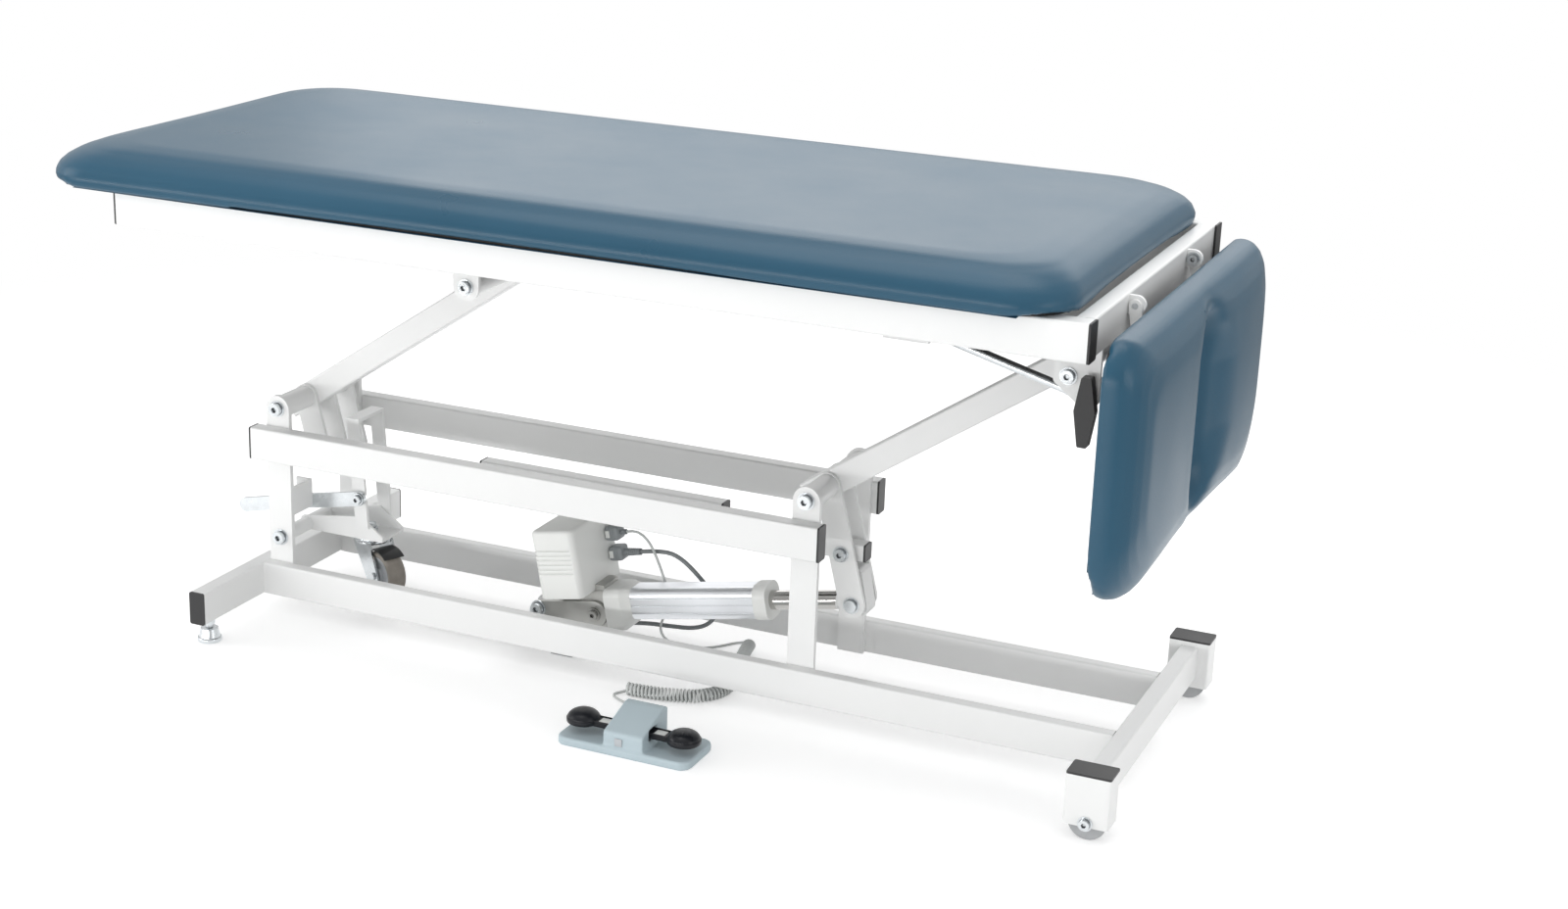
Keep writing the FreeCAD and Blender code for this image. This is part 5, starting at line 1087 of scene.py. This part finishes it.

# %% [markdown]
# ## Caster wheel and swivel
# The wheel is a grey-brown tyre on a pale moulded hub with a sunken face. Both are turned
# from profiles round the axle. The swivel above it is a ball race pressed from two zinc
# rings, and a thin black arc bridges the fork's legs over the tyre.

# %% Caster wheel and swivel
swivel_axis, trail, axle_height, wheel_yaw = Vector((-0.47257, 0, 0)), 0.036, 0.059, math.radians(-25)
wheel_middle = swivel_axis + Vector((trail * math.cos(wheel_yaw), trail * math.sin(wheel_yaw), axle_height))
axle_way = Vector((-math.sin(wheel_yaw), math.cos(wheel_yaw), 0))
wheel_half, tread_radius, tyre_root, axle_bore = 0.0155, 0.0375, 0.0275, 0.0054


def wheel_part(name, half_profile, finish, stands_for=None):
    """Half a profile, mirrored across the wheel's middle and turned round the axle."""
    shape = bmesh.new()
    other_half = [(radius, -height) for radius, height in reversed(half_profile)]
    turned(shape, half_profile + other_half, wheel_middle, wheel_middle + axle_way, ring=True, steps=72)
    return finish_piece(name, shape, "caster_wheel", finish, stands_for=stands_for)


wheel_tyre = wheel_part("wheel_tyre", [
    (tyre_root, 0.0135), (tyre_root + 0.003, 0.0150), (tyre_root + 0.006, 0.0149),
    (tread_radius - 0.0022, 0.0135), (tread_radius - 0.0006, 0.0100), (tread_radius, 0.0050)],
    tyre_rubber, "caster_wheel")
wheel_hub = wheel_part("wheel_hub", [
    (axle_bore, wheel_half - 0.0004), (0.0096, wheel_half - 0.0004), (0.0104, 0.0146), (0.0108, 0.0112),
    (0.0185, 0.0104), (0.0192, 0.0118), (0.0250, 0.0128), (tyre_root + 0.0004, 0.0140)],
    hub_plastic)

race_shape = bmesh.new()
race_bore, soft = 0.0235, 0.0012
for low, high, radius in ((0.1035, 0.1078, 0.0262), (0.1086, 0.1134, 0.0282)):
    turned(race_shape, [(race_bore, low), (radius - soft, low), (radius - 0.3 * soft, low + 0.3 * soft),
                        (radius, low + soft), (radius, high - soft), (radius - 0.3 * soft, high - 0.3 * soft),
                        (radius - soft, high), (race_bore, high)],
           swivel_axis, swivel_axis + Vector((0, 0, 1)), ring=True, steps=64)
swivel_race = finish_piece("swivel_race", race_shape, "caster_fork", zinc)

# A thin black arc is laid over the tyre, between the fork's legs.
dark_arc_shape = bmesh.new()
inner, outer, dark_arc_half = 0.0398, 0.0412, 0.0176
dark_arc_sweep, dark_arc_back = math.radians(62), math.radians(24)
section = [dark_arc_shape.verts.new((radius, 0, height)) for radius, height in
           ((inner, -dark_arc_half), (outer, -dark_arc_half), (outer, dark_arc_half), (inner, dark_arc_half))]
dark_arc_face = dark_arc_shape.faces.new(section)
bmesh.ops.spin(dark_arc_shape, geom=[dark_arc_face], cent=(0, 0, 0), axis=(0, 0, 1), angle=dark_arc_sweep, steps=16)
bmesh.ops.remove_doubles(dark_arc_shape, verts=dark_arc_shape.verts, dist=0.000004)
bmesh.ops.recalc_face_normals(dark_arc_shape, faces=dark_arc_shape.faces)
turn = axle_way.to_track_quat("Z", "Y").to_matrix().to_4x4()
up_in_plane = turn.inverted() @ Vector((0, 0, 1))
start_turn = math.atan2(up_in_plane.y, up_in_plane.x) - dark_arc_back
onto_axle = Matrix.Translation(wheel_middle) @ turn @ Matrix.Rotation(start_turn, 4, "Z")
bmesh.ops.transform(dark_arc_shape, matrix=onto_axle, verts=dark_arc_shape.verts)
dark_arc_over_tyre = finish_piece("dark_arc_over_tyre", dark_arc_shape, "caster_fork", black_plastic)
print("caster pieces", wheel_tyre.name, wheel_hub.name, swivel_race.name, dark_arc_over_tyre.name)

# %% [markdown]
# ## Hems under the pads
# Underneath, the vinyl is turned over the board's edge and stapled. A thin strip with its
# row of wire staples runs along each free edge, and stops where a rail or a hinge sits.

# %% Hems under the pads
staple_step, staple_half, wire_radius = 0.042, 0.0055, 0.0004


def hem(strips, staples, low, high, run, face):
    """A strip between two corners, with staples along its middle on its lower or back face."""
    block(strips, low, high, 0.00035, 2)
    low, high = Vector(low), Vector(high)
    for index in range(int((high[run] - low[run]) / staple_step)):
        spot = (low + high) / 2
        spot[run] = low[run] + (index + 0.5) * staple_step
        spot[face] = low[face]
        reach = Vector((wire_radius, wire_radius, wire_radius))
        reach[run] = staple_half
        block(staples, spot - reach, spot + reach, 0.0001, 1)


def hems(pad, body, corners):
    """All the hems of one pad, as a strip piece and a staple piece."""
    strips, staples = bmesh.new(), bmesh.new()
    for low, high, run, face in corners:
        hem(strips, staples, low, high, run, face)
    finish_piece(pad + "_hem", strips, body, blue_vinyl)
    return finish_piece(pad + "_staples", staples, body, zinc)


main_staples = hems("main", "top", [
    ((-0.735, -0.336, 0.6864), (0.640, -0.3215, 0.6872), 0, 2),
    ((-0.735, 0.3215, 0.6864), (0.640, 0.336, 0.6872), 0, 2),
    ((-0.794, -0.270, 0.6864), (-0.776, 0.270, 0.6872), 1, 2)])
nose_staples = hems("nose", "nose", [
    ((0.7479, -0.333, 0.385), (0.7487, -0.318, 0.630), 2, 0),
    ((0.7479, -0.300, 0.345), (0.7487, -0.050, 0.360), 1, 0),
    ((0.7479, 0.318, 0.385), (0.7487, 0.333, 0.630), 2, 0),
    ((0.7479, 0.050, 0.345), (0.7487, 0.300, 0.360), 1, 0)])
print("staples", len(main_staples.data.polygons), len(nose_staples.data.polygons))
